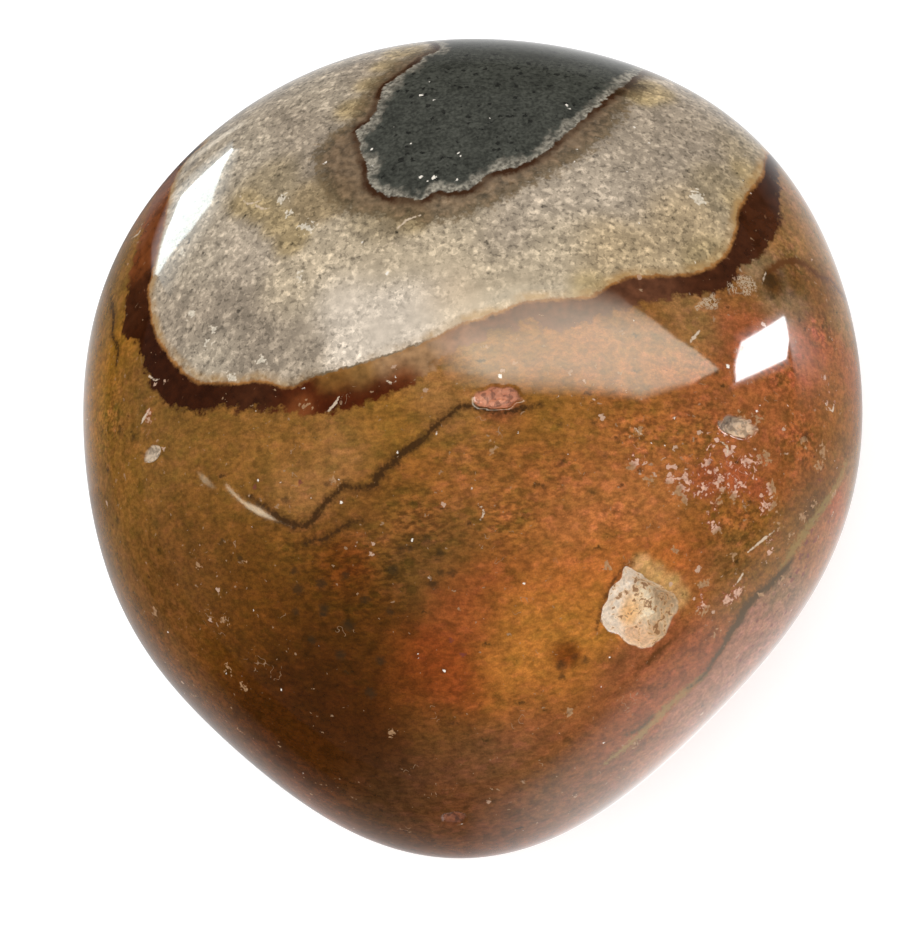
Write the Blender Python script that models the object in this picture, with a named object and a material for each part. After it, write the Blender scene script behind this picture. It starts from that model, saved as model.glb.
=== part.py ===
"""A polished polychrome jasper palm stone, lying on its broad back.

The stone is one natural piece, so it is one solid. Its frame is in metres with +Z up. The origin is the
middle of the small flat patch that the stone rests on. The domed, patterned face looks up.
"""

import math
import random

import bmesh
import bpy
from mathutils import Matrix, Vector

MM = 0.001

# Driving dimensions of the pebble, in millimetres
MEAN_RADIUS = 33.3
CROWN_HEIGHT = 23.0
BACK_HEIGHT = 17.0
FLAT_SHARE = 0.36
FOOT_OFFSET_X = 3.4
FOOT_OFFSET_Y = 0.7

# The rim seen from above: one cosine and one sine amount, in millimetres, for each number of lobes
RIM_LOBES = {
    1: (3.6, 0.8),
    2: (-0.7, -0.1),
    3: (0.1, 0.9),
    4: (0.3, 0.2),
    5: (0.2, -0.3),
    6: (-0.2, -0.2),
}

# The crown leans: it is this share taller at +X and lower at +Y
LEAN_X = 0.10
LEAN_Y = -0.08

# Faint waves that polishing by hand leaves on the crown: height in millimetres, then how fast each
# runs across the stone and where it starts, in radians
HAND_WAVE_HEIGHT = 0.12
HAND_WAVE_X = (5.0, 1.0)
HAND_WAVE_Y = (4.0, 2.0)

# Squares along each edge of the cube that the surface is grown from
CUBE_DIVISIONS = 24

# How far a cutter stands out of the surface that it sinks into, in millimetres
CUTTER_CLEARANCE = 2.5

# The open pocket in the crown: its rim in millimetres, as seen looking straight down into it
POCKET_PLACE = (17.3, -18.9, 30.9)
POCKET_NORMAL = (0.52, -0.49, 0.70)
POCKET_DEPTH = 1.9
POCKET_RIM = [
    (-1.7, 3.3),
    (-2.1, 2.2),
    (-2.6, 1.4),
    (-2.9, -0.1),
    (-2.9, -1.2),
    (-2.2, -1.9),
    (-1.0, -2.2),
    (-0.2, -2.9),
    (0.7, -3.2),
    (1.9, -3.0),
    (2.9, -1.9),
    (3.3, -0.4),
    (3.4, 0.9),
    (2.1, 1.9),
    (1.0, 2.3),
    (-0.3, 2.9),
]

# Rings that the pocket's wall and floor run through: share of the rim, height, and how far each point
# of the ring may stray up or down, in millimetres
POCKET_RINGS = [
    (1.0, CUTTER_CLEARANCE, 0.0),
    (1.0, 0.2, 0.0),
    (0.9, -0.9, 0.32),
    (0.72, -POCKET_DEPTH, 0.32),
    (0.42, -POCKET_DEPTH, 0.32),
]
POCKET_MIDDLE = (0.1, 0.2, 0.3 - POCKET_DEPTH)
POCKET_SEED = 4

# How uneven the wall of a shallow pit is, as a share of its size
PIT_UNEVENNESS = 0.08

# Shallow pits: place, outward normal, length, width, depth (millimetres) and turn (degrees)
PITS = {
    "lens": ((8.0, -3.4, 39.2), (0.21, -0.02, 0.98), 3.9, 1.7, 0.6, 3.0),
    "crescent": ((25.3, -4.6, 30.4), (0.66, -0.12, 0.74), 3.5, 1.6, 0.7, -4.0),
    "left": ((-21.5, -5.0, 34.1), (-0.55, -0.09, 0.83), 2.2, 1.4, 0.5, 20.0),
    "low": ((0.8, -33.7, 23.8), (0.05, -0.86, 0.52), 2.0, 1.4, 0.5, 10.0),
}


def clear_scene():
    """Remove every object, so that the script starts from nothing."""
    for thing in list(bpy.data.objects):
        bpy.data.objects.remove(thing, do_unlink=True)


def jasper_material():
    """Brown jasper with a high polish."""
    material = bpy.data.materials.new("polished_jasper")
    material.use_nodes = True
    shader = material.node_tree.nodes["Principled BSDF"]
    shader.inputs["Base Color"].default_value = (0.26, 0.13, 0.05, 1.0)
    shader.inputs["Roughness"].default_value = 0.08
    shader.inputs["Metallic"].default_value = 0.0
    return material


def rim_radius(share, angle):
    """Distance from the crown's axis, before flattening, for a share of the way out to the rim."""
    radius = MEAN_RADIUS
    for lobes, (cosine, sine) in RIM_LOBES.items():
        swell = cosine * math.cos(lobes * angle) + sine * math.sin(lobes * angle)
        radius += share ** lobes * swell
    return radius


def surface_point(direction):
    """The point of the polished surface that lies along a unit direction, in millimetres."""
    share = min(math.hypot(direction.x, direction.y), 1.0)
    angle = math.atan2(direction.y, direction.x)
    if direction.z >= 0.0:
        rise = direction.z
        slide = 0.0
    else:
        flattened = max(share - FLAT_SHARE * (1.0 - share) ** 2, 0.0)
        rise = -math.sqrt(max(1.0 - flattened ** 2, 0.0))
        slide = direction.z ** 2
    upper = (1.0 + rise) / 2.0
    across = math.sin(HAND_WAVE_X[0] * direction.x + HAND_WAVE_X[1])
    along = math.sin(HAND_WAVE_Y[0] * direction.y + HAND_WAVE_Y[1])
    wave = HAND_WAVE_HEIGHT * across * along * upper
    radius = rim_radius(share, angle) + wave
    even_height = (CROWN_HEIGHT + BACK_HEIGHT) / 2.0
    extra_crown = (CROWN_HEIGHT - BACK_HEIGHT) / 2.0
    lean = 1.0 + (LEAN_X * direction.x + LEAN_Y * direction.y) * upper ** 2
    x = radius * direction.x + FOOT_OFFSET_X * (slide - 1.0)
    y = radius * direction.y + FOOT_OFFSET_Y * (slide - 1.0)
    z = (even_height * rise + extra_crown * rise ** 2) * lean + BACK_HEIGHT
    return Vector((x, y, z))


def make_stone(material):
    """A cube's grid blown up to the pebble, so that its faces stay even all over."""
    shape = bmesh.new()
    bmesh.ops.create_cube(shape, size=2.0)
    bmesh.ops.subdivide_edges(shape, edges=shape.edges[:], cuts=CUBE_DIVISIONS - 1, use_grid_fill=True)
    for vertex in shape.verts:
        bowed = [math.tan(side * math.pi / 4.0) for side in vertex.co]
        vertex.co = surface_point(Vector(bowed).normalized()) * MM
    bmesh.ops.recalc_face_normals(shape, faces=shape.faces[:])
    for face in shape.faces:
        face.smooth = True
    mesh = bpy.data.meshes.new("stone")
    shape.to_mesh(mesh)
    shape.free()
    mesh.materials.append(material)
    stone = bpy.data.objects.new("stone", mesh)
    bpy.context.collection.objects.link(stone)
    return stone


def standing_on(place, normal, turn):
    """A frame at a place on the surface: Z along the normal, and Y up the stone's face."""
    z_axis = Vector(normal).normalized()
    x_axis = Vector((0.0, 1.0, 0.0)).cross(z_axis).normalized()
    y_axis = z_axis.cross(x_axis)
    frame = Matrix((x_axis, y_axis, z_axis)).transposed().to_4x4()
    spin = Matrix.Rotation(math.radians(turn), 4, "Z")
    return Matrix.Translation(Vector(place) * MM) @ frame @ spin


def add_cutter(name, shape, frame):
    """Link a cutter that the Boolean reads, and that is not a piece of its own."""
    bmesh.ops.recalc_face_normals(shape, faces=shape.faces[:])
    mesh = bpy.data.meshes.new(name)
    shape.to_mesh(mesh)
    shape.free()
    cutter = bpy.data.objects.new(name, mesh)
    cutter.matrix_world = frame
    cutter.hide_render = True
    cutter.display_type = "WIRE"
    bpy.context.collection.objects.link(cutter)
    return cutter


def pocket_cutter():
    """A plug with a lumpy end: walls lean in, and the floor is broken up like a crust of crystals."""
    chance = random.Random(POCKET_SEED)
    shape = bmesh.new()
    rings = []
    for share, height, rough in POCKET_RINGS:
        ring = []
        for x, y in POCKET_RIM:
            place = Vector((x * share, y * share, height + chance.uniform(-rough, rough)))
            ring.append(shape.verts.new(place * MM))
        rings.append(ring)
    middle = shape.verts.new(Vector(POCKET_MIDDLE) * MM)
    count = len(POCKET_RIM)
    for outer, inner in zip(rings, rings[1:]):
        for step in range(count):
            after = (step + 1) % count
            shape.faces.new((outer[step], outer[after], inner[after], inner[step]))
    for step in range(count):
        shape.faces.new((rings[-1][step], rings[-1][(step + 1) % count], middle))
    shape.faces.new(rings[0])
    bmesh.ops.triangulate(shape, faces=shape.faces[:])
    return add_cutter("cutter_pocket", shape, standing_on(POCKET_PLACE, POCKET_NORMAL, 0.0))


def pit_cutter(name, place, normal, length, width, depth, turn):
    """A flattened, slightly uneven ball whose lower part scoops the pit."""
    chance = random.Random(name)
    shape = bmesh.new()
    bmesh.ops.create_icosphere(shape, subdivisions=2, radius=1.0)
    for vertex in shape.verts:
        uneven = 1.0 + chance.uniform(-PIT_UNEVENNESS, PIT_UNEVENNESS)
        vertex.co.x *= length / 2.0 * uneven * MM
        vertex.co.y *= width / 2.0 * uneven * MM
        vertex.co.z *= depth * uneven * MM
    return add_cutter("cutter_" + name, shape, standing_on(place, normal, turn))


def cut(stone, cutter):
    """Take a cutter's shape out of the stone."""
    modifier = stone.modifiers.new(cutter.name, "BOOLEAN")
    modifier.operation = "DIFFERENCE"
    modifier.solver = "EXACT"
    modifier.object = cutter


def build():
    """Make the stone and open its pits."""
    clear_scene()
    stone = make_stone(jasper_material())
    cut(stone, pocket_cutter())
    for name, (place, normal, length, width, depth, turn) in PITS.items():
        cut(stone, pit_cutter(name, place, normal, length, width, depth, turn))
    return stone


build()
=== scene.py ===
# %% [markdown]
# # A polished polychrome jasper palm stone
#
# This lesson dresses one stone: a pebble of jasper, ground and polished until it shines like glass. The
# solid model gives its real size and place. Here it gets a smooth surface, a rough open pocket, coloured
# zones, veins, grains and a studio whose lamps show up in the polish.
#
# The first cell loads the solid model. Every length below is in millimetres until it is passed to
# Blender, because a stone of seven centimetres is easier to think about that way.

import math

import bpy
import numpy as np
from mathutils import Matrix, Vector
from mathutils.bvhtree import BVHTree


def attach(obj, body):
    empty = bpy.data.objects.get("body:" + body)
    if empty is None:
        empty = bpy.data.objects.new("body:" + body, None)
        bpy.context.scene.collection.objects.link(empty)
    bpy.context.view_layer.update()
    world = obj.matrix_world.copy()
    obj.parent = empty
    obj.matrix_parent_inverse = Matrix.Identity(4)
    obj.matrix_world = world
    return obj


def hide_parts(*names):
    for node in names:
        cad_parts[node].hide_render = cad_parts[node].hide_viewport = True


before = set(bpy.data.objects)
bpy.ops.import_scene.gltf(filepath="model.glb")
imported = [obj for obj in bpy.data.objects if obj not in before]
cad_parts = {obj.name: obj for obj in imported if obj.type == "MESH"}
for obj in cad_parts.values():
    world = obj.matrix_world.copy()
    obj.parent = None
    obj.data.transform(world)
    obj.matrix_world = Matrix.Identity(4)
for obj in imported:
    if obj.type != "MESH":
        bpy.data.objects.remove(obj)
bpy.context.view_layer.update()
MM = 0.001

# %% [markdown]
# ## The pebble's form
#
# A tumbled pebble has no straight line and no corner, so it is awkward to model by pulling points
# about. One formula is simpler: take every direction outwards from the middle, and say how far the
# surface lies that way. The rim is a circle with a few broad lobes, the crown is a dome that leans a
# little, and the back is shallower with a small flat patch to rest on. The solid model follows the
# same formula, so the two agree everywhere.

# %% The formula of the pebble
MEAN_RADIUS = 33.3
CROWN_HEIGHT = 23.0
BACK_HEIGHT = 17.0
FLAT_SHARE = 0.36
FOOT_OFFSET = (3.4, 0.7)
RIM_LOBES = {1: (3.6, 0.8), 2: (-0.7, -0.1), 3: (0.1, 0.9), 4: (0.3, 0.2), 5: (0.2, -0.3), 6: (-0.2, -0.2)}
LEAN = (0.10, -0.08)
POLISH_WAVE_HEIGHT = 0.12
POLISH_WAVE_X = (5.0, 1.0)
POLISH_WAVE_Y = (4.0, 2.0)


def surface_points(ways):
    """Points of the polished surface, in millimetres, for rows of unit directions."""
    share = np.minimum(np.hypot(ways[:, 0], ways[:, 1]), 1.0)
    angle = np.arctan2(ways[:, 1], ways[:, 0])
    flattened = np.clip(share - FLAT_SHARE * (1.0 - share) ** 2, 0.0, 1.0)
    is_crown = ways[:, 2] >= 0.0
    rise = np.where(is_crown, ways[:, 2], -np.sqrt(1.0 - flattened ** 2))
    slide = np.where(is_crown, 0.0, ways[:, 2] ** 2)
    upper = (1.0 + rise) / 2.0
    across = np.sin(POLISH_WAVE_X[0] * ways[:, 0] + POLISH_WAVE_X[1])
    along = np.sin(POLISH_WAVE_Y[0] * ways[:, 1] + POLISH_WAVE_Y[1])
    radius = MEAN_RADIUS + POLISH_WAVE_HEIGHT * across * along * upper
    for lobes, (cosine, sine) in RIM_LOBES.items():
        radius = radius + share ** lobes * (cosine * np.cos(lobes * angle) + sine * np.sin(lobes * angle))
    even_height = (CROWN_HEIGHT + BACK_HEIGHT) / 2.0
    extra_crown = (CROWN_HEIGHT - BACK_HEIGHT) / 2.0
    lean = 1.0 + (LEAN[0] * ways[:, 0] + LEAN[1] * ways[:, 1]) * upper ** 2
    x = radius * ways[:, 0] + FOOT_OFFSET[0] * (slide - 1.0)
    y = radius * ways[:, 1] + FOOT_OFFSET[1] * (slide - 1.0)
    z = (even_height * rise + extra_crown * rise ** 2) * lean + BACK_HEIGHT
    return np.stack([x, y, z], axis=1)


def by_angles(azimuth, polar):
    """The surface point at an azimuth round from +X and a polar angle down from the crown, in degrees."""
    turn, tip = math.radians(azimuth), math.radians(polar)
    way = [math.sin(tip) * math.cos(turn), math.sin(tip) * math.sin(turn), math.cos(tip)]
    return surface_points(np.array([way]))[0]


print("crown top at", by_angles(0, 0).round(1), "mm, foot at", by_angles(0, 180).round(1), "mm")

# %% [markdown]
# ## The camera
#
# The stone was photographed from above, a little from its lower right. The camera sits 320 mm away
# with a long lens, as a product photographer would set it, so the stone hardly distorts. It is made
# first, because the markings are then drawn where the camera sees them: a mark that is given by a
# place in the picture is carried along the line of sight until it lands on the stone.

# %% Set the camera
PICTURE = (906, 942)
DISTANCE = 320.0
PIXELS_PER_MM = 12.0
TILT, SIDE = math.radians(19.0), math.radians(-45.0)
STONE_IN_PICTURE = (423.9, 438.3)
SENSOR = 36.0
MIDDLE = np.array([-FOOT_OFFSET[0], -FOOT_OFFSET[1], BACK_HEIGHT])

to_camera = np.array([math.sin(TILT) * math.cos(SIDE), math.sin(TILT) * math.sin(SIDE), math.cos(TILT)])
picture_right = np.cross([0.0, 1.0, 0.0], to_camera)
picture_right /= np.linalg.norm(picture_right)
picture_up = np.cross(to_camera, picture_right)
step_right = (PICTURE[0] / 2 - STONE_IN_PICTURE[0]) / PIXELS_PER_MM
step_up = (STONE_IN_PICTURE[1] - PICTURE[1] / 2) / PIXELS_PER_MM
eye = MIDDLE + DISTANCE * to_camera + step_right * picture_right + step_up * picture_up

camera_data = bpy.data.cameras.new("camera")
camera_data.lens = DISTANCE * PIXELS_PER_MM * SENSOR / max(PICTURE)
camera_data.sensor_width = SENSOR
camera = bpy.data.objects.new("camera", camera_data)
bpy.context.scene.collection.objects.link(camera)
camera_axes = Matrix([picture_right, picture_up, to_camera]).transposed()
camera.location = Vector(eye * MM)
camera.rotation_euler = camera_axes.to_euler()
bpy.context.scene.camera = camera
print("lens", round(camera_data.lens, 1), "mm")


def sight_line(x, y):
    """The unit direction from the camera through a place in the picture."""
    right = (x - PICTURE[0] / 2) / PIXELS_PER_MM
    up = (PICTURE[1] / 2 - y) / PIXELS_PER_MM
    line = right * picture_right + up * picture_up - DISTANCE * to_camera
    return line / np.linalg.norm(line)


# %% [markdown]
# ## The stone's mesh
#
# A round ball of latitude and longitude has pinched poles, which show in a mirror polish. A cube whose
# grid is blown up to the pebble has squares of nearly the same size all over. The squares are halved
# again and again only where the stone has fine shape or fine lines: round the pocket and the pits, and
# along the veins. So the cube is cut first, and blown up last.

# %% The fine places
POCKET_PLACE = (17.3, -18.9, 30.9)
POCKET_NORMAL = (0.52, -0.49, 0.70)
POCKET_DEPTH = 1.9
POCKET_RIM = [
    (-1.7, 3.3), (-2.1, 2.2), (-2.6, 1.4), (-2.9, -0.1), (-2.9, -1.2), (-2.2, -1.9), (-1.0, -2.2),
    (-0.2, -2.9), (0.7, -3.2), (1.9, -3.0), (2.9, -1.9), (3.3, -0.4), (3.4, 0.9), (2.1, 1.9), (1.0, 2.3),
    (-0.3, 2.9),
]
PITS = {
    "lens": ((8.0, -3.4, 39.2), (0.21, -0.02, 0.98), 3.9, 1.7, 0.6, 3.0),
    "crescent": ((25.3, -4.6, 30.4), (0.66, -0.12, 0.74), 3.5, 1.6, 0.7, -4.0),
    "left": ((-21.5, -5.0, 34.1), (-0.55, -0.09, 0.83), 2.2, 1.4, 0.5, 20.0),
    "low": ((0.8, -33.7, 23.8), (0.05, -0.86, 0.52), 2.0, 1.4, 0.5, 10.0),
}

# %% [markdown]
# The markings are drawn as a jeweller would sketch them: each border and vein is a short row of places
# in the picture, joined by a smooth curve. Where a border runs over the edge of what the camera sees,
# it carries on by angles round the stone, so that the back is finished too.

# %% Borders and veins
GREY_SEEN = [
    (203, 141), (187, 160), (175, 179), (166, 220), (154, 272), (150, 290), (156, 330), (166, 348),
    (180, 366), (199, 380), (231, 382), (264, 379), (288, 386), (314, 376), (355, 365), (395, 352),
    (430, 339), (456, 325), (480, 317), (494, 312), (509, 306), (524, 300), (546, 298), (579, 297),
    (594, 293), (611, 283), (635, 275), (678, 274), (707, 267), (726, 250), (735, 228), (739, 205),
    (751, 187), (761, 174), (764, 158), (772, 147),
]
GREY_BORDER_BEHIND = [
    (38, 95), (42, 112), (55, 128), (75, 137), (98, 140), (120, 133), (135, 118), (138, 100),
]
BAND_SEEN = [
    (185, 157), (170, 175), (154, 199), (144, 225), (136, 252), (130, 275), (127, 299), (123, 334),
    (138, 343), (142, 362), (153, 387), (167, 403), (194, 412), (221, 406), (247, 411), (282, 408),
    (322, 414), (355, 406), (395, 392), (419, 379), (436, 366), (443, 355), (457, 350), (479, 339),
    (492, 333), (511, 330), (524, 320), (535, 320), (544, 328), (563, 328), (583, 323), (596, 316),
    (609, 314), (622, 308), (640, 304), (678, 296), (706, 294), (732, 287), (743, 266), (763, 253),
    (773, 236), (781, 217), (779, 205), (778, 177), (784, 163),
]
BAND_BORDER_BEHIND = [
    (33, 95), (35, 114), (49, 134), (74, 144), (98, 147), (123, 140), (140, 123), (144, 100),
]
CORE_SEEN = [
    (440, 46), (426, 56), (411, 67), (396, 78), (383, 89), (378, 106), (368, 123), (357, 129), (360, 147),
    (368, 169), (369, 186), (392, 197), (422, 199), (435, 192), (461, 192), (475, 186), (492, 173),
    (518, 167), (544, 154), (559, 139), (579, 123), (600, 104), (616, 91), (634, 77),
]
CORE_BORDER_BEHIND = [
    (57, 88), (58, 104), (68, 118), (80, 121), (90, 110), (91, 92),
]
HALO_SEEN = [
    (448, 38), (438, 44), (421, 50), (404, 57), (388, 67), (375, 79), (362, 94), (353, 111), (341, 126),
    (326, 138), (316, 151), (313, 166), (318, 184), (328, 200), (343, 211), (362, 217), (385, 219),
    (405, 223), (430, 227), (461, 219), (493, 207), (524, 191), (553, 176), (572, 164), (588, 155),
    (603, 143), (616, 130), (626, 112), (636, 100), (650, 92), (644, 80),
]
HALO_BORDER_BEHIND = [
    (52, 91), (53, 106), (64, 122), (80, 126), (94, 114), (96, 92),
]
PALE_SIDE_SEEN = [
    (866, 420), (852, 452), (842, 474), (834, 492), (823, 511), (812, 528), (802, 541), (793, 559),
    (786, 570), (777, 579), (771, 588), (760, 595), (753, 603), (746, 611), (740, 624), (733, 632),
    (728, 643), (721, 654), (714, 664), (708, 674), (700, 682), (690, 692), (680, 700), (671, 710),
    (662, 724), (652, 738), (638, 753), (617, 768), (596, 800),
]
PALE_SIDE_BORDER_BEHIND = [
    (-66, 84), (-66, 100), (-52, 112), (-35, 115), (-15, 110), (-2, 96), (0, 82),
]

# Each vein is a row of places in the picture, each with half the vein's width there in millimetres
DARK_VEINS = [
    [(246, 494, 0.04), (262, 505, 0.12), (279, 518, 0.2), (293, 524, 0.22), (308, 524, 0.2),
     (317, 514, 0.2), (324, 504, 0.22), (336, 494, 0.18), (345, 486, 0.22), (356, 488, 0.12),
     (373, 486, 0.18), (378, 475, 0.28), (386, 468, 0.24), (393, 463, 0.3), (402, 453, 0.24),
     (412, 446, 0.28), (426, 437, 0.18), (437, 424, 0.21), (451, 414, 0.17), (462, 406, 0.15),
     (476, 407, 0.15), (500, 412, 0.12), (524, 408, 0.14), (540, 404, 0.02)],
    [(304, 543, 0.02), (313, 541, 0.12), (325, 539, 0.12), (336, 531, 0.1), (350, 523, 0.11),
     (362, 520, 0.02)],
    [(111, 299, 0.06), (114, 318, 0.18), (112, 334, 0.12), (118, 348, 0.2), (116, 366, 0.04)],
]
SLITS = [
    [(768, 272, 0.1), (776, 266, 0.24), (787, 261, 0.3), (800, 262, 0.24), (809, 268, 0.2),
     (819, 276, 0.16), (832, 281, 0.16), (839, 291, 0.16), (848, 303, 0.14), (853, 312, 0.06)],
    [(674, 639, 0.04), (666, 645, 0.12), (657, 653, 0.2), (649, 661, 0.2), (640, 668, 0.04)],
    [(596, 634, 0.02), (601, 612, 0.08), (609, 591, 0.08), (620, 572, 0.1), (632, 563, 0.04)],
]
OLIVE_VEINS = [
    [(793, 558, 0.04), (787, 567, 0.2), (778, 576, 0.24), (768, 587, 0.3), (758, 594, 0.24),
     (751, 602, 0.32), (744, 610, 0.34), (738, 623, 0.38), (731, 631, 0.34), (726, 642, 0.28),
     (719, 653, 0.2), (712, 663, 0.18), (706, 673, 0.14), (697, 682, 0.06), (688, 688, 0.02)],
    [(652, 717, 0.02), (646, 723, 0.08), (637, 730, 0.06), (626, 735, 0.02)],
]
FAINT_VEINS = [
    [(846, 462, 0.08), (840, 480, 0.24), (831, 496, 0.32), (820, 511, 0.36), (809, 526, 0.38),
     (799, 541, 0.36), (790, 556, 0.3), (781, 568, 0.12)],
    [(706, 674, 0.14), (694, 684, 0.26), (680, 695, 0.34), (666, 709, 0.36), (653, 722, 0.36),
     (640, 735, 0.36), (624, 748, 0.26), (606, 762, 0.06)],
]

PALE_THREADS = [
    [(397, 229, 0.02), (407, 220, 0.09), (421, 215, 0.02)],
    [(384, 246, 0.02), (392, 243, 0.06), (399, 246, 0.02)],
    [(478, 504, 0.02), (484, 512, 0.06), (480, 520, 0.02)],
    [(254, 204, 0.02), (263, 209, 0.07), (272, 207, 0.02)],
    [(294, 254, 0.02), (301, 259, 0.06), (306, 254, 0.02)],
    [(326, 412, 0.02), (334, 405, 0.08), (339, 396, 0.02)],
    [(150, 408, 0.02), (144, 418, 0.1), (141, 424, 0.02)],
    [(149, 376, 0.02), (155, 380, 0.08), (160, 379, 0.02)],
    [(384, 378, 0.02), (391, 383, 0.05), (396, 381, 0.02)],
    [(748, 552, 0.03), (759, 543, 0.1), (774, 531, 0.03)],
    [(735, 585, 0.02), (741, 577, 0.09), (744, 570, 0.02)],
    [(700, 330, 0.02), (694, 337, 0.1), (690, 343, 0.02)],
    [(720, 441, 0.02), (727, 447, 0.08), (727, 456, 0.02)],
    [(142, 224, 0.02), (139, 233, 0.08), (132, 238, 0.02)],
    [(825, 403, 0.02), (832, 411, 0.06), (834, 404, 0.02)],
    [(634, 428, 0.02), (641, 434, 0.08), (645, 437, 0.02)],
    [(766, 271, 0.02), (764, 278, 0.05), (762, 284, 0.02)],
    [(240, 196, 0.02), (248, 204, 0.06), (262, 200, 0.02)],
]

# %% [markdown]
# Single grains and pinholes that stand out from the rest are listed one by one: a place in the picture
# and a radius in millimetres.

# %% Single grains, dark spots and painted glints
PALE_SPOTS = [
    (281, 199, 0.34), (289, 213, 0.32), (308, 226, 0.5), (301, 276, 0.24), (207, 344, 0.34),
    (191, 314, 0.28), (232, 377, 0.28), (182, 252, 0.24), (698, 198, 0.56), (262, 361, 0.24),
    (214, 330, 0.22), (148, 416, 0.34), (305, 405, 0.34), (155, 612, 0.3), (198, 565, 0.22),
    (224, 620, 0.26), (228, 670, 0.26), (244, 688, 0.28), (392, 733, 0.24), (335, 479, 0.22),
    (492, 448, 0.22), (638, 432, 0.34), (633, 464, 0.36), (680, 490, 0.5), (685, 480, 0.4),
    (672, 482, 0.3), (748, 461, 0.4), (763, 458, 0.5), (771, 488, 0.4), (774, 504, 0.45),
    (734, 496, 0.35), (716, 529, 0.5), (740, 418, 0.32), (757, 416, 0.34), (823, 449, 0.42),
    (804, 441, 0.28), (820, 466, 0.35), (803, 517, 0.3), (779, 528, 0.34), (676, 550, 0.22),
    (704, 584, 0.3), (714, 632, 0.24), (703, 609, 0.4), (570, 711, 0.26), (651, 479, 0.26),
    (607, 567, 0.24), (637, 743, 0.3), (728, 601, 0.34), (742, 485, 0.25), (710, 471, 0.3),
    (705, 463, 0.3), (718, 479, 0.3), (719, 489, 0.3), (704, 492, 0.3), (683, 501, 0.3), (717, 503, 0.25),
    (729, 451, 0.36), (765, 508, 0.35), (733, 557, 0.3), (739, 592, 0.34), (834, 494, 0.2),
    (813, 504, 0.18), (791, 535, 0.2), (781, 579, 0.22), (760, 595, 0.22), (244, 561, 0.2),
]
DARK_SPOTS = [
    (298, 589, 0.46), (321, 584, 0.42), (324, 610, 0.46), (349, 626, 0.46), (294, 571, 0.34),
    (371, 693, 0.46), (433, 584, 0.4), (393, 570, 0.4), (440, 573, 0.3), (286, 499, 0.3),
    (806, 436, 0.26), (562, 462, 0.28), (593, 423, 0.3), (472, 546, 0.2), (561, 666, 0.44),
    (562, 677, 0.3), (585, 660, 0.3), (575, 656, 0.26), (770, 281, 0.7), (792, 294, 0.34),
    (772, 297, 0.3), (543, 486, 0.24), (512, 479, 0.22), (420, 436, 0.18), (328, 484, 0.24),
    (345, 575, 0.3), (365, 600, 0.32), (410, 548, 0.3), (120, 430, 0.34), (716, 371, 0.22),
    (803, 461, 0.18), (710, 463, 0.14), (750, 501, 0.16), (620, 92, 0.6), (630, 86, 0.7), (641, 86, 0.5),
    (390, 612, 0.3), (341, 655, 0.4), (312, 640, 0.34), (296, 612, 0.26), (380, 660, 0.34),
    (402, 548, 0.3), (426, 540, 0.34), (440, 553, 0.3), (240, 560, 0.26), (222, 540, 0.22),
    (452, 573, 0.26), (604, 456, 0.22), (133, 437, 0.3), (108, 470, 0.26), (118, 520, 0.3),
    (560, 425, 0.22), (640, 470, 0.2), (592, 492, 0.2),
]
# Painted glints: pinpoint highlights laid into the colour, each a place and a radius in millimetres.
GLINTS = [
    (325, 163, 0.15), (430, 82, 0.14), (421, 95, 0.14), (434, 100, 0.11), (394, 127, 0.1),
    (421, 177, 0.14), (434, 178, 0.2), (427, 181, 0.09), (457, 180, 0.12), (458, 153, 0.13),
    (461, 156, 0.1), (567, 105, 0.13), (570, 109, 0.09), (577, 149, 0.1), (574, 162, 0.09),
    (411, 143, 0.09), (372, 149, 0.12), (373, 166, 0.12), (387, 273, 0.14), (362, 242, 0.1),
    (628, 171, 0.1), (649, 143, 0.09), (634, 127, 0.1), (602, 686, 0.12), (471, 488, 0.11),
    (524, 583, 0.12), (437, 432, 0.11), (398, 452, 0.09), (603, 743, 0.1), (610, 657, 0.12),
    (412, 540, 0.1), (500, 376, 0.14), (728, 366, 0.18), (674, 418, 0.1), (757, 411, 0.14),
    (341, 502, 0.11), (304, 388, 0.1), (258, 480, 0.09), (168, 632, 0.09), (281, 690, 0.1),
    (560, 733, 0.09), (444, 671, 0.1),
]
RED_SPOTS = [
    (812, 531, 0.18), (806, 543, 0.2), (800, 557, 0.22), (808, 556, 0.16), (797, 571, 0.2),
    (792, 580, 0.22), (803, 574, 0.16), (757, 621, 0.18), (772, 625, 0.18), (765, 604, 0.16),
    (741, 660, 0.16), (749, 672, 0.14), (728, 683, 0.16), (786, 612, 0.16), (818, 515, 0.16),
    (733, 702, 0.14), (715, 706, 0.18), (781, 640, 0.14), (825, 505, 0.16), (760, 650, 0.14),
    (255, 487, 0.18), (300, 482, 0.2), (463, 655, 0.2), (451, 640, 0.14), (820, 480, 0.14),
    (770, 660, 0.14), (708, 722, 0.14), (690, 735, 0.16), (815, 540, 0.22), (818, 551, 0.18),
    (806, 566, 0.22), (828, 522, 0.18), (788, 596, 0.18), (776, 612, 0.16), (762, 634, 0.18),
    (752, 646, 0.16),
]

# %% [markdown]
# The cube is added with its plain operator and divided in edit mode. The faces that need more are
# picked in code by where they will lie on the finished stone.

# %% Grow the pebble from a cube
CUBE_DIVISIONS = 95
FINE_CUTS = 3
VEIN_REACH = 0.9
THREAD_REACH = 0.5
POCKET_REACH = 5.0
PIT_MARGIN = 0.7
SPOT_MARGIN = 0.45
INWARD_STEPS = 40
INWARD_STEP = 0.004
CURVE_STEPS = 5
FAR_AWAY = 1e9
TINY = 1e-9


def to_ways(corners):
    """Directions outwards for points on a cube of side 2, spread so that the squares come out even."""
    bowed = np.tan(np.clip(corners, -1.0, 1.0) * math.pi / 4.0)
    return bowed / np.linalg.norm(bowed, axis=1, keepdims=True)


def read_corners(mesh):
    """The mesh's points as rows of numbers."""
    corners = np.empty(len(mesh.vertices) * 3)
    mesh.vertices.foreach_get("co", corners)
    return corners.reshape(-1, 3)


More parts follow.
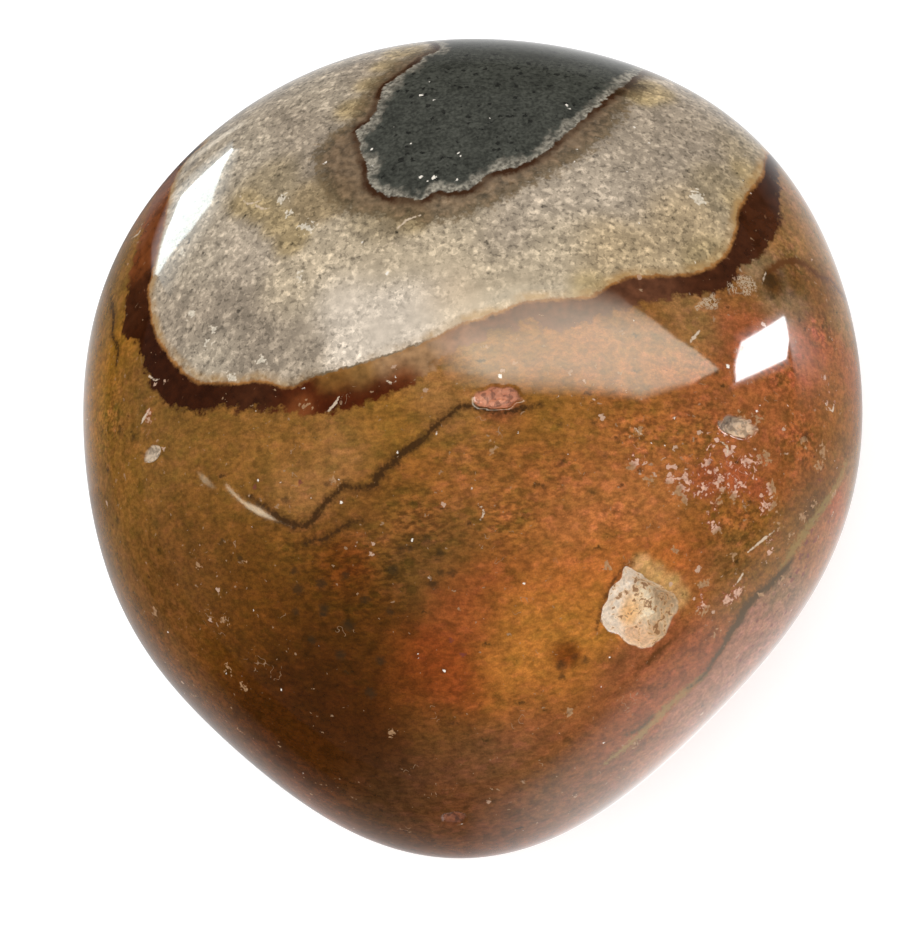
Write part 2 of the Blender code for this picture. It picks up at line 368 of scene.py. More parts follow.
def land_on_stone(x, y):
    """Where the sight line through a place in the picture meets the pebble, and the normal there.

    A place that lies just off the stone is drawn in towards its middle until it lands.
    """
    middle_x, middle_y = STONE_IN_PICTURE
    for step in range(INWARD_STEPS):
        keep = 1.0 - INWARD_STEP * step
        line = sight_line(middle_x + (x - middle_x) * keep, middle_y + (y - middle_y) * keep)
        place, normal, _, _ = pebble_tree.ray_cast(Vector(eye), Vector(line))
        if place is not None:
            return np.array(place), np.array(normal)
    raise ValueError("the sight line misses the stone")


def smooth_curve(points, closed=False):
    """More points on a smooth curve through the given ones."""
    row = np.array(points)
    count = len(row)
    curve = []
    for start in range(count if closed else count - 1):
        if closed:
            a, b, c, d = (row[(start + offset) % count] for offset in (-1, 0, 1, 2))
        else:
            a, b, c, d = (row[min(max(start + offset, 0), count - 1)] for offset in (-1, 0, 1, 2))
        for t in np.arange(CURVE_STEPS) / CURVE_STEPS:
            bend = (2 * a - 5 * b + 4 * c - d) * t ** 2 + (3 * b - a - 3 * c + d) * t ** 3
            curve.append((2 * b + (c - a) * t + bend) / 2)
    if not closed:
        curve.append(row[-1])
    return np.array(curve)


def laid_on_stone(curve):
    """A curve's points, each moved to the nearest place on the pebble."""
    return np.array([pebble_tree.find_nearest(Vector(point))[0] for point in curve])


def distance_to(points, curve, halves=None, closed=False):
    """The shortest distance from each point to a curve, or to its side where half widths are given."""
    ends = np.roll(curve, -1, axis=0) if closed else curve[1:]
    halves = np.zeros(len(curve)) if halves is None else halves
    half_ends = np.roll(halves, -1) if closed else halves[1:]
    nearest = np.full(len(points), FAR_AWAY)
    for start, end, half_start, half_end in zip(curve, ends, halves, half_ends):
        run = end - start
        share = np.clip((points - start) @ run / max(run @ run, TINY), 0.0, 1.0)
        gap = points - start - share[:, None] * run
        side = np.sqrt(np.einsum("ij,ij->i", gap, gap)) - half_start - (half_end - half_start) * share
        nearest = np.minimum(nearest, side)
    return nearest


def vein_curve(seen):
    """A vein's smooth curve on the stone, and half its width at each point of the curve."""
    row = [[*land_on_stone(x, y)[0], half] for x, y, half in seen]
    curve = smooth_curve(row)
    return laid_on_stone(curve[:, :3]), curve[:, 3]


bpy.ops.object.select_all(action="DESELECT")
bpy.ops.mesh.primitive_cube_add(size=2.0, location=(0.0, 0.0, 0.0))
stone = bpy.context.object
stone.name = "polished_stone"
stone.data.name = "polished_stone"
bpy.ops.object.mode_set(mode="EDIT")
bpy.ops.mesh.select_all(action="SELECT")
bpy.ops.mesh.subdivide(number_cuts=CUBE_DIVISIONS - 1)
bpy.ops.mesh.select_mode(type="FACE")
bpy.ops.mesh.select_all(action="DESELECT")
bpy.ops.object.mode_set(mode="OBJECT")

rough_points = surface_points(to_ways(read_corners(stone.data)))
rough_faces = [tuple(face.vertices) for face in stone.data.polygons]
pebble_tree = BVHTree.FromPolygons([Vector(point) for point in rough_points], rough_faces)

dark_veins, slits, olive_veins, faint_veins, pale_threads = (
    [vein_curve(seen) for seen in group]
    for group in (DARK_VEINS, SLITS, OLIVE_VEINS, FAINT_VEINS, PALE_THREADS)
)

centres = rough_points[np.array(rough_faces)].mean(axis=1)
wanted = np.linalg.norm(centres - np.array(POCKET_PLACE), axis=1) < POCKET_REACH
for place, normal, length, width, depth, turn in PITS.values():
    wanted |= np.linalg.norm(centres - np.array(place), axis=1) < length / 2 + PIT_MARGIN
for curve, halves in dark_veins + slits + olive_veins + faint_veins:
    wanted |= distance_to(centres, curve) < VEIN_REACH
for curve, halves in pale_threads:
    wanted |= distance_to(centres, curve) < THREAD_REACH
for x, y, radius in PALE_SPOTS + DARK_SPOTS + RED_SPOTS + GLINTS:
    wanted |= np.linalg.norm(centres - land_on_stone(x, y)[0], axis=1) < radius + SPOT_MARGIN
stone.data.polygons.foreach_set("select", wanted)
bpy.ops.object.mode_set(mode="EDIT")
bpy.ops.mesh.subdivide(number_cuts=FINE_CUTS)
bpy.ops.object.mode_set(mode="OBJECT")
print("faces to divide again:", int(wanted.sum()), "- faces now:", len(stone.data.polygons))

# %% [markdown]
# ## Blow it up, then carve
#
# The pocket is a real hollow: its walls drop steeply from a sharp rim, and its floor is a crust of
# tiny crystals, so it is carved into the mesh and not painted. The four shallow pits are scooped with
# rounded floors. A carved point sinks along the stone's own normal there.

# %% Carve the pocket and the pits
WALL_WIDTH = 0.5
FLOOR_SHARE = 0.72
FLOOR_LEAN = 0.22
FLOOR_HALF = 3.0
CRUST_START = (0.1, 0.9)
PIT_WALL = 0.25
PIT_FIELD = 2.0
FIELD_DEPTH = 6.0
FIELD_RADIUS = 8.0
OUTSIDE = -9.0
WAVE_COUNT = 9

# Heights of uneven places, in millimetres or as a share, each followed by the size of one bump
RIM_WOBBLE = (0.12, 1.1)
CRUST_LUMP = (0.16, 1.3)
CRUST_GRAIN = (0.09, 0.55)
PIT_WOBBLE = (0.10, 0.9)
PIT_ROUGHNESS = (0.25, 0.5)


def write_corners(mesh, corners):
    """Put points in millimetres into a mesh, which is in metres."""
    mesh.vertices.foreach_set("co", (corners * MM).ravel())
    mesh.update()


def read_normals(mesh):
    """The mesh's outward normal at each point."""
    normals = np.empty(len(mesh.vertices) * 3)
    mesh.vertex_normals.foreach_get("vector", normals)
    return normals.reshape(-1, 3)


def local_places(points, place, normal, turn=0.0):
    """Places seen looking straight down the normal: right, up, and height above it, in millimetres."""
    z_axis = np.array(normal) / np.linalg.norm(normal)
    x_axis = np.cross([0.0, 1.0, 0.0], z_axis)
    x_axis /= np.linalg.norm(x_axis)
    y_axis = np.cross(z_axis, x_axis)
    cosine, sine = math.cos(math.radians(turn)), math.sin(math.radians(turn))
    offset = points - np.array(place)
    right, up = offset @ x_axis, offset @ y_axis
    return np.stack([right * cosine + up * sine, up * cosine - right * sine, offset @ z_axis], axis=1)


def is_inside(places, outline):
    """Which flat places lie inside a closed outline."""
    inside = np.zeros(len(places), dtype=bool)
    x, y = places[:, 0], places[:, 1]
    for (x1, y1), (x2, y2) in zip(outline, np.roll(outline, -1, axis=0)):
        if y1 == y2:
            continue
        crosses = (y1 > y) != (y2 > y)
        inside ^= crosses & (x < (x2 - x1) * (y - y1) / (y2 - y1) + x1)
    return inside


def ease(value, low, high):
    """A smooth step from 0 at low to 1 at high."""
    share = np.clip((value - low) / (high - low), 0.0, 1.0)
    return share * share * (3.0 - 2.0 * share)


def lumps(points, height_and_size, seed):
    """Soft bumps of a given height and size: sums of crossed waves, the same on every run."""
    height, size = height_and_size
    chance = np.random.default_rng(seed)
    total = np.zeros(len(points))
    for _ in range(WAVE_COUNT):
        way = chance.normal(size=3)
        way *= 2.0 * math.pi / size / np.linalg.norm(way) * chance.uniform(0.7, 1.4)
        total += np.sin(points @ way + chance.uniform(0.0, 2.0 * math.pi))
    return height * np.clip(total / math.sqrt(WAVE_COUNT), -1.0, 1.0)


points = surface_points(to_ways(read_corners(stone.data)))
write_corners(stone.data, points)
normals = read_normals(stone.data)

in_pocket = local_places(points, POCKET_PLACE, POCKET_NORMAL)
rim = np.array(POCKET_RIM)
flat_rim = np.c_[rim, np.zeros(len(rim))]
flat_places = np.c_[in_pocket[:, :2], np.zeros(len(points))]
rim_gap = distance_to(flat_places, flat_rim, closed=True)
near_pocket = (in_pocket[:, 2] > -FIELD_DEPTH) & (np.linalg.norm(flat_places, axis=1) < FIELD_RADIUS)
pocket_edge = np.where(is_inside(in_pocket, rim), rim_gap, -rim_gap)
pocket_edge = np.where(near_pocket, pocket_edge, OUTSIDE) + lumps(points, RIM_WOBBLE, seed=2)
floor_lean = FLOOR_LEAN * np.clip(in_pocket[:, 0] / FLOOR_HALF, -1.0, 1.0)
crust = lumps(points, CRUST_LUMP, seed=5) + lumps(points, CRUST_GRAIN, seed=6)
floor_depth = POCKET_DEPTH * (FLOOR_SHARE + floor_lean) + crust * ease(pocket_edge, *CRUST_START)
depth = ease(pocket_edge, 0.0, WALL_WIDTH) * floor_depth

pit_edge = np.full(len(points), OUTSIDE)
for name, (place, normal, length, width, pit_depth, turn) in PITS.items():
    at = local_places(points, place, normal, turn)
    reach = np.hypot(at[:, 0] / (length / 2.0), at[:, 1] / (width / 2.0))
    reach += lumps(points, PIT_WOBBLE, seed=len(name))
    near = np.abs(at[:, 2]) < PIT_FIELD
    bowl = np.where(near, np.clip(1.0 - reach ** 2, 0.0, 1.0), 0.0)
    roughness = 1.0 + lumps(points, PIT_ROUGHNESS, seed=9)
    depth = depth + pit_depth * np.sqrt(bowl) * ease(bowl, 0.0, PIT_WALL) * roughness
    pit_edge = np.maximum(pit_edge, np.where(near, (1.0 - reach) * width / 2.0, OUTSIDE))

write_corners(stone.data, points - normals * depth[:, None])
print("deepest carving", round(float(depth.max()), 2), "mm")

# %% [markdown]
# ## Where each zone lies
#
# A border between two colours has to be sharp, and a mesh with half-millimetre squares can't hold a
# sharp painted edge. So each point stores how far it is from the border in millimetres, positive
# inside. That value changes evenly, Blender fills it in smoothly between the points, and the material
# turns it into an edge as crisp or as ragged as the real one.

# %% Measure the distance to every border
CHART_SIZE = np.array([33.0, 33.0, 20.0])
ZONES = {
    "grey_edge": (GREY_SEEN, GREY_BORDER_BEHIND),
    "band_edge": (BAND_SEEN, BAND_BORDER_BEHIND),
    "core_edge": (CORE_SEEN, CORE_BORDER_BEHIND),
    "halo_edge": (HALO_SEEN, HALO_BORDER_BEHIND),
}
VEINS = {
    "dark_vein": dark_veins,
    "slit": slits,
    "olive_vein": olive_veins,
    "faint_vein": faint_veins,
    "pale_thread": pale_threads,
}
SPOTS = {"pale_spot": PALE_SPOTS, "dark_spot": DARK_SPOTS, "red_spot": RED_SPOTS, "glint": GLINTS}


def to_chart(places):
    """A flat map of the whole stone: the crown's top in the middle, and the foot all round the outside."""
    ways = (places - MIDDLE) / CHART_SIZE
    ways /= np.linalg.norm(ways, axis=1, keepdims=True)
    polar = np.arccos(np.clip(ways[:, 2], -1.0, 1.0))
    turn = np.arctan2(ways[:, 1], ways[:, 0])
    return np.stack([polar * np.cos(turn), polar * np.sin(turn)], axis=1)


def zone_edge(seen, behind):
    """Signed distance to a zone's border: positive inside the zone."""
    border = [land_on_stone(*at)[0] for at in seen] + [by_angles(*at) for at in behind]
    curve = laid_on_stone(smooth_curve(border, closed=True))
    gap = distance_to(points, curve, closed=True)
    return np.where(is_inside(to_chart(points), to_chart(curve)), gap, -gap)


def vein_gap(veins):
    """Distance from the side of the nearest vein: negative within the vein."""
    return np.min([distance_to(points, curve, halves) for curve, halves in veins], axis=0)


def spot_edge(spots):
    """How far inside the nearest spot each point is: negative outside them all."""
    deepest = np.full(len(points), OUTSIDE)
    for x, y, radius in spots:
        gap = np.linalg.norm(points - land_on_stone(x, y)[0], axis=1)
        deepest = np.maximum(deepest, radius - gap)
    return deepest


def keep_numbers(name, values):
    """Store one number for each point of the stone."""
    layer = stone.data.attributes.new(name, "FLOAT", "POINT")
    layer.data.foreach_set("value", np.asarray(values, dtype=np.float32))


for name, (seen, behind) in ZONES.items():
    keep_numbers(name, zone_edge(seen, behind))
for name, veins in VEINS.items():
    keep_numbers(name, vein_gap(veins))
for name, spots in SPOTS.items():
    keep_numbers(name, spot_edge(spots))
keep_numbers("pocket_edge", pocket_edge)
keep_numbers("pit_edge", pit_edge)
print("numbers kept on", len(points), "points")

# %% [markdown]
# ## The soft colours
#
# Iron stains jasper in clouds with no edges. They are laid on like dabs of thin paint: each dab has a
# named tint, a place, and a radius in millimetres over which it fades away. Not all of it is stain: the
# near black and dark olive dabs low on the left are partly painted shade, and some dabs in the pocket
# and the crescent pit paint light and shade on their walls. A coat is kept for each zone, because the
# zones meet at sharp borders and their tints mustn't run together. The body has two, laid over each
# other along the olive vein: beyond it the stone is flesh-coloured.

# %% Dab the tints on
BASE_RADIUS = 30.0
DAB_SPREAD = 1.5
PALE_SIDE_FADE = (-0.25, 0.35)
TINTS = {
    "golden_ochre": (0.305, 0.136, 0.019),
    "ochre": (0.232, 0.114, 0.024),
    "olive_brown": (0.207, 0.097, 0.022),
    "tan_brown": (0.232, 0.104, 0.021),
    "olive_umber": (0.188, 0.079, 0.014),
    "umber": (0.155, 0.062, 0.014),
    "deep_umber": (0.124, 0.043, 0.005),
    # The next two tints are stone colour with painted shade laid in where they are dabbed low on the left.
    "dark_olive": (0.096, 0.034, 0.004),
    "near_black": (0.056, 0.016, 0.002),
    "smoky_brown": (0.074, 0.032, 0.012),
    "golden": (0.268, 0.120, 0.027),
    "honey": (0.272, 0.122, 0.021),
    "biscuit": (0.342, 0.156, 0.048),
    "moss": (0.154, 0.069, 0.017),
    "moss_brown": (0.204, 0.083, 0.018),
    "russet": (0.330, 0.116, 0.029),
    "russet_brown": (0.274, 0.104, 0.020),
    "orange": (0.412, 0.147, 0.041),
    "red_orange": (0.445, 0.138, 0.030),
    "brick_orange": (0.298, 0.078, 0.019),
    "brick": (0.268, 0.056, 0.011),
    "deep_brick": (0.156, 0.039, 0.005),
    "amber": (0.446, 0.168, 0.030),
    "deep_amber": (0.336, 0.118, 0.021),
    "rosy_brown": (0.265, 0.086, 0.032),
    "mauve_brown": (0.184, 0.076, 0.030),
    "mauve": (0.262, 0.086, 0.031),
    "old_rose": (0.285, 0.112, 0.050),
    "rose_brown": (0.310, 0.092, 0.032),
    "warm_rose": (0.348, 0.092, 0.030),
    "pink_red": (0.318, 0.102, 0.030),
    "plum": (0.130, 0.047, 0.016),
    "flesh": (0.312, 0.142, 0.082),
    "flesh_orange": (0.325, 0.127, 0.044),
    "flesh_olive": (0.250, 0.135, 0.068),
    "olive_tan": (0.240, 0.102, 0.026),
    "drab": (0.260, 0.127, 0.048),
    "dull_tan": (0.226, 0.142, 0.070),
    "tan": (0.286, 0.142, 0.049),
    "pale_halo": (0.550, 0.310, 0.115),
    "crust_white": (0.850, 0.710, 0.560),
    "crust_cream": (0.850, 0.585, 0.370),
    "crust_orange": (0.820, 0.470, 0.190),
    # Painted light: paler than the crust's own cream, where the pocket's wall catches the light.
    "crust_painted_light": (0.980, 0.840, 0.600),
    # Partly the wall's own tan, partly painted shade on the pocket's upper right wall.
    "shaded_crust_wall": (0.560, 0.400, 0.240),
    "chalk": (0.700, 0.560, 0.410),
    "pit_rose": (0.640, 0.265, 0.150),
    # The crescent pit's pale lower lip, with painted light on it.
    "pale_lit_pit_lip": (0.860, 0.640, 0.430),
    # A grey of the sand zone; in the crescent pit it paints the shadow in the upper part.
    "slate": (0.275, 0.220, 0.162),
    "taupe": (0.333, 0.268, 0.197),
    "dark_taupe": (0.290, 0.225, 0.140),
    "grey": (0.405, 0.335, 0.248),
    "pale_grey": (0.420, 0.342, 0.255),
    "dull_sand": (0.415, 0.310, 0.185),
    "pale_sand": (0.480, 0.386, 0.266),
    "cream": (0.635, 0.540, 0.430),
    "warm_cream": (0.570, 0.445, 0.305),
    "stain": (0.340, 0.252, 0.134),
    "deep_stain": (0.280, 0.205, 0.115),
    "yellow_stain": (0.430, 0.320, 0.165),
    "chocolate": (0.034, 0.008, 0.002),
    "cocoa": (0.052, 0.015, 0.005),
    "maroon": (0.068, 0.012, 0.002),
    "red_brown": (0.165, 0.046, 0.012),
    "glassy_deep": (0.205, 0.090, 0.020),
    "glassy_gold": (0.268, 0.134, 0.038),
    "glassy_pale": (0.350, 0.200, 0.095),
    "brick_streak": (0.205, 0.064, 0.022),
    "dusk_pale": (0.235, 0.098, 0.046),
    "dusk": (0.132, 0.044, 0.018),
    "dusk_deep": (0.110, 0.040, 0.018),
}
BODY_DABS = {
    "ochre": [(106, 300, 2.0)],
    "golden_ochre": [(98, 400, 2.4)],
    "olive_brown": [(125, 412, 1.8), (178, 440, 2.2), (120, 540, 2.8), (470, 530, 1.8), (780, 540, 1.6)],
    "tan_brown": [(212, 440, 2.0), (240, 482, 2.4), (130, 472, 2.2)],
    "olive_umber": [(215, 522, 2.6), (282, 538, 1.8), (385, 488, 1.2)],
    "umber": [(152, 585, 2.6), (200, 560, 2.4), (440, 725, 1.8), (560, 765, 2.2)],
    "deep_umber": [(240, 612, 2.8), (258, 560, 2.2), (330, 570, 2.2)],
    "golden": [(245, 436, 1.8), (300, 452, 1.2), (290, 432, 1.4), (470, 440, 1.8), (480, 370, 1.8)],
    "biscuit": [(300, 488, 1.4), (345, 450, 1.6), (440, 393, 1.5)],
    "honey": [(368, 428, 1.6), (400, 420, 1.6), (560, 415, 1.4)],
    "russet_brown": [
        (420, 480, 1.6), (520, 450, 2.2), (518, 540, 1.6), (702, 530, 1.6), (750, 505, 1.6),
        (640, 400, 1.8), (840, 400, 1.4), (540, 360, 1.8),
    ],
    "moss_brown": [(355, 510, 1.6), (380, 540, 1.6), (410, 515, 1.4), (735, 560, 1.2), (820, 285, 1.2)],
    "moss": [(430, 545, 1.8), (432, 588, 1.6), (810, 500, 1.2), (796, 281, 0.5)],
    "russet": [
        (472, 488, 1.8), (522, 500, 1.8), (690, 440, 2.0), (620, 452, 2.2), (562, 470, 2.2),
        (600, 370, 2.0), (660, 360, 1.8), (695, 590, 0.9),
    ],
    "orange": [(572, 520, 1.8), (622, 500, 2.2), (662, 490, 1.8)],
    "red_orange": [(610, 560, 1.6), (572, 582, 1.8), (670, 560, 0.9)],
    "brick_orange": [(490, 572, 1.8), (478, 625, 1.6), (450, 602, 1.0), (690, 560, 1.6)],
    # Partly painted shade: the first three dabs darken the lower left, and the last is the stone's own olive
    # by the slit.
    "dark_olive": [(400, 602, 2.4), (380, 645, 2.4), (320, 620, 2.4), (774, 284, 0.5)],
    "brick": [(432, 652, 1.6), (462, 682, 1.6)],
    "deep_brick": [(350, 562, 1.0), (420, 692, 2.0), (566, 654, 0.45)],
    "amber": [(520, 622, 1.6), (542, 650, 2.0), (510, 665, 1.4), (582, 622, 1.4), (596, 606, 1.0)],
    "deep_amber": [(505, 692, 1.6), (560, 690, 1.6)],
    # Partly painted shade: these darken the lower left of the body beyond its own brown.
    "near_black": [(335, 660, 2.2), (352, 702, 2.6), (328, 745, 3.0), (292, 700, 2.8), (380, 745, 1.8)],
    "smoky_brown": [(400, 780, 2.2), (400, 825, 2.4)],
    "plum": [(450, 772, 2.2), (500, 822, 2.2), (450, 830, 2.2)],
    "rosy_brown": [(540, 722, 2.0)],
    "mauve": [(600, 735, 2.2), (622, 700, 2.0), (662, 700, 2.0), (655, 672, 1.8), (700, 660, 1.4)],
    "mauve_brown": [(500, 760, 2.0), (560, 802, 1.8), (620, 770, 1.8)],
    "rose_brown": [(698, 645, 2.0), (742, 325, 1.4), (500, 404, 0.6)],
    "drab": [(722, 580, 1.8), (790, 200, 1.4)],
    "olive_tan": [
        (742, 602, 1.4), (832, 450, 1.4), (752, 570, 1.4), (790, 548, 1.0), (740, 290, 1.0),
        (640, 328, 1.2),
    ],
    "pink_red": [(702, 400, 1.8), (770, 470, 1.8), (800, 462, 1.8), (800, 400, 2.2), (845, 370, 1.4)],
    "warm_rose": [(800, 350, 1.8), (706, 480, 0.5), (736, 478, 0.5), (758, 490, 0.4)],
    "tan": [(845, 320, 1.4), (692, 318, 1.4), (800, 240, 1.6), (812, 225, 1.4)],
    "dull_tan": [(782, 300, 1.4), (752, 268, 0.4)],
    "pale_halo": [(670, 583, 0.38), (680, 596, 0.36), (656, 573, 0.36), (642, 566, 0.34)],
}
PALE_SIDE_DABS = {
    "warm_rose": [(838, 500, 1.2)],
    "flesh_orange": [(826, 538, 1.4), (812, 556, 1.2)],
    "flesh_olive": [(792, 588, 1.0), (778, 596, 0.7)],
    "flesh": [(770, 620, 1.6), (745, 650, 1.6), (720, 680, 1.6), (690, 712, 1.6)],
    "old_rose": [(658, 748, 1.4), (632, 772, 1.6)],
    "tan": [(848, 480, 1.4)],
    "mauve_brown": [(604, 797, 1.6)],
}
CRUST_DABS = {
    "crust_white": [(616, 606, 0.8), (612, 624, 0.8), (624, 586, 0.7), (634, 576, 0.6), (620, 634, 0.5)],
    "crust_cream": [(636, 642, 0.8), (650, 640, 0.6)],
    "crust_orange": [(640, 612, 0.6), (634, 622, 0.4)],
    # Painted light on the pocket's wall.
    "crust_painted_light": [(653, 600, 0.6), (657, 622, 0.6)],
    # Partly the wall's own tan, partly painted shade along the pocket's upper right wall.
    "shaded_crust_wall": [
        (664, 592, 0.45), (673, 606, 0.45), (675, 622, 0.45), (668, 636, 0.4), (652, 580, 0.35),
    ],
    "chalk": [(154, 456, 0.9)],
    "pit_rose": [(500, 400, 1.2)],
    # The crescent pit's lower lip: pale crust with painted light.
    "pale_lit_pit_lip": [(742, 434, 0.8)],
    # Painted shadow in the crescent pit's upper part.
    "slate": [(730, 418, 0.5)],
    "rose_brown": [(452, 820, 1.2)],
}
BODY_DABS_BEHIND = {
    "umber": [(190, 100, 6.0), (190, 150, 7.0)],
    "olive_umber": [(215, 105, 6.0)],
    "smoky_brown": [(235, 100, 6.0)],
    "mauve": [(270, 112, 8.0)],
    "rose_brown": [(300, 125, 9.0)],
    "russet": [(330, 112, 8.0), (350, 165, 8.0)],
    "olive_tan": [(0, 110, 8.0)],
    "amber": [(250, 145, 8.0)],
    "brick_orange": [(320, 150, 8.0)],
    "moss": [(20, 150, 7.0)],
    "golden": [(160, 130, 8.0)],
    "tan": [(25, 105, 5.0)],
    "red_orange": [(285, 160, 6.0)],
    "moss_brown": [(225, 165, 7.0)],
}
GREY_DABS = {
    "taupe": [
        (300, 125, 1.8), (200, 300, 1.8), (252, 364, 1.2), (296, 340, 1.3), (502, 230, 1.3),
        (640, 178, 2.2), (650, 130, 2.0), (702, 130, 2.0), (370, 75, 1.6), (720, 105, 1.5),
    ],
    "grey": [(250, 150, 1.6), (215, 356, 1.4), (205, 262, 1.4), (330, 95, 1.6)],
    "slate": [(225, 322, 1.8), (262, 338, 1.4), (330, 160, 1.2)],
    "pale_grey": [(240, 255, 1.6), (545, 200, 1.8), (592, 180, 1.8)],
    "pale_sand": [
        (300, 290, 1.6), (500, 278, 1.3), (352, 262, 1.6), (430, 250, 1.8), (462, 228, 1.5),
        (560, 245, 1.5), (545, 288, 0.9),
    ],
    "cream": [(342, 302, 1.4), (380, 332, 1.4), (420, 312, 1.5), (360, 345, 1.0)],
    "warm_cream": [(452, 302, 1.3)],
    "dull_sand": [(602, 250, 1.4), (642, 262, 1.2), (682, 218, 1.4)],
    "yellow_stain": [(590, 290, 0.7), (642, 96, 0.5)],
    "dark_taupe": [(722, 190, 1.2), (742, 150, 1.2), (270, 182, 1.2), (380, 222, 1.0)],
    "stain": [
        (350, 108, 0.5), (368, 84, 0.5), (384, 66, 0.5), (402, 52, 0.5), (262, 210, 0.5), (276, 224, 0.5),
        (290, 240, 0.5), (248, 202, 0.5), (415, 220, 0.5), (655, 92, 0.6), (748, 172, 0.6),
        (736, 200, 0.5), (706, 256, 0.8),
    ],
    "deep_stain": [(320, 194, 0.9), (400, 216, 0.7)],
}
GREY_DABS_BEHIND = {
    "taupe": [(60, 105, 6.0), (125, 110, 6.0)],
    "pale_grey": [(75, 128, 6.0)],
    "cream": [(100, 132, 5.0)],
    "pale_sand": [(50, 112, 4.0)],
    "stain": [(115, 124, 3.0)],
}
BAND_DABS = {
    "cocoa": [
        (130, 300, 1.8), (262, 400, 1.6), (700, 282, 1.4), (742, 245, 1.4), (762, 205, 1.4),
        (146, 300, 1.0),
    ],
    "chocolate": [(150, 370, 2.0), (200, 398, 2.0), (768, 180, 1.2), (150, 330, 1.4)],
    "red_brown": [(300, 408, 0.5), (402, 374, 0.6), (160, 216, 0.8), (150, 245, 0.8), (140, 262, 0.8)],
    "maroon": [(300, 402, 1.2), (345, 396, 0.8), (375, 390, 0.8), (330, 405, 0.6), (402, 388, 0.5)],
    "glassy_deep": [(335, 378, 0.6)],
    "glassy_gold": [(362, 372, 0.6)],
    "glassy_pale": [(388, 362, 0.6), (410, 356, 0.6), (428, 354, 0.7)],
    "dusk_pale": [(450, 344, 1.2)],
    "dusk": [(500, 322, 1.6), (560, 312, 1.6)],
    "dusk_deep": [(610, 300, 1.4), (655, 287, 1.4)],
    "brick_streak": [(158, 199, 0.5), (150, 217, 0.5), (143, 238, 0.4), (168, 181, 0.4)],
}


def paint(base, seen, behind=None):
    """A coat of colour: every dab shades off into its neighbours, and the base shows where none is near."""
    weight = np.full(len(points), 1.0 / BASE_RADIUS ** 2)
    coat = weight[:, None] * np.array(TINTS[base])
    dabs = [(tint, land_on_stone(x, y)[0], radius) for tint, row in seen.items() for x, y, radius in row]
    for tint, row in (behind or {}).items():
        dabs += [(tint, by_angles(azimuth, polar), radius) for azimuth, polar, radius in row]
    for tint, place, radius in dabs:
        gap = np.einsum("ij,ij->i", points - place, points - place)
        share = np.exp(-gap / (DAB_SPREAD * radius) ** 2) / radius ** 2
        coat += share[:, None] * np.array(TINTS[tint])
        weight += share
    return coat / weight[:, None]


def keep_colours(name, coat):
    """Store one colour for each point of the stone."""
    layer = stone.data.attributes.new(name, "FLOAT_COLOR", "POINT")
    layer.data.foreach_set("color", np.c_[coat, np.ones(len(coat))].astype(np.float32).ravel())


pale_side = zone_edge(PALE_SIDE_SEEN, PALE_SIDE_BORDER_BEHIND)
beyond_vein = ease(pale_side, *PALE_SIDE_FADE)[:, None]
near_side = paint("russet", BODY_DABS, BODY_DABS_BEHIND)
far_side = paint("flesh", PALE_SIDE_DABS)
keep_colours("body_tint", near_side * (1.0 - beyond_vein) + far_side * beyond_vein)
keep_colours("grey_tint", paint("grey", GREY_DABS, GREY_DABS_BEHIND))
keep_colours("band_tint", paint("chocolate", BAND_DABS))
keep_colours("crust_tint", paint("crust_white", CRUST_DABS))
coats = (BODY_DABS, PALE_SIDE_DABS, GREY_DABS, BAND_DABS, CRUST_DABS)
print("dabs laid on:", sum(len(row) for coat in coats for row in coat.values()))

# %% [markdown]
# Some traits come and go without a colour of their own: how grainy the grey zone is, how thickly the
# pale flecks lie, where crusty flakes sit by the band, how mottled the body is, and where the band is
# glassy. They are dabbed on as numbers from 0 to 1. Each dab is a place, a radius and the number there.

# %% Dab the traits on
SAND_DABS = [
    (342, 302, 1.8, 0.15), (380, 332, 2.0, 0.08), (425, 312, 2.0, 0.08), (470, 298, 1.8, 0.12),
    (520, 285, 1.6, 0.2), (575, 284, 1.4, 0.3), (450, 272, 1.6, 0.35), (370, 275, 1.6, 0.3),
    (300, 335, 1.2, 0.5), (410, 262, 1.4, 0.4),
]
FLECK_DABS = [
    (720, 450, 2.0, 1.0), (745, 475, 1.8, 1.0), (700, 485, 1.6, 1.0), (760, 500, 1.4, 0.9),
    (712, 520, 1.2, 0.8), (640, 455, 1.2, 0.8), (670, 470, 1.2, 0.8), (735, 440, 1.4, 1.0),
    (210, 580, 2.0, 0.48), (205, 620, 1.6, 0.44), (180, 540, 1.4, 0.38), (770, 545, 1.4, 0.8),
    (730, 590, 1.6, 0.8), (700, 600, 1.2, 0.7), (830, 400, 1.6, 0.7), (150, 410, 1.8, 0.6),
    (600, 400, 1.6, 0.5), (760, 330, 1.6, 0.6), (690, 560, 1.2, 0.5), (440, 500, 1.4, 0.5),
    (370, 545, 1.2, 0.5), (270, 415, 1.6, 0.5), (790, 440, 1.4, 0.7), (340, 660, 3.0, 0.0),
    (380, 760, 4.0, 0.0), (520, 650, 2.4, 0.02), (300, 700, 3.0, 0.0), (560, 720, 2.4, 0.08),
]
FLAKE_DABS = [
    (748, 286, 1.0, 0.9), (734, 288, 0.7, 0.9), (712, 302, 0.8, 0.9), (700, 308, 0.5, 0.7),
    (740, 270, 0.5, 0.7),
]
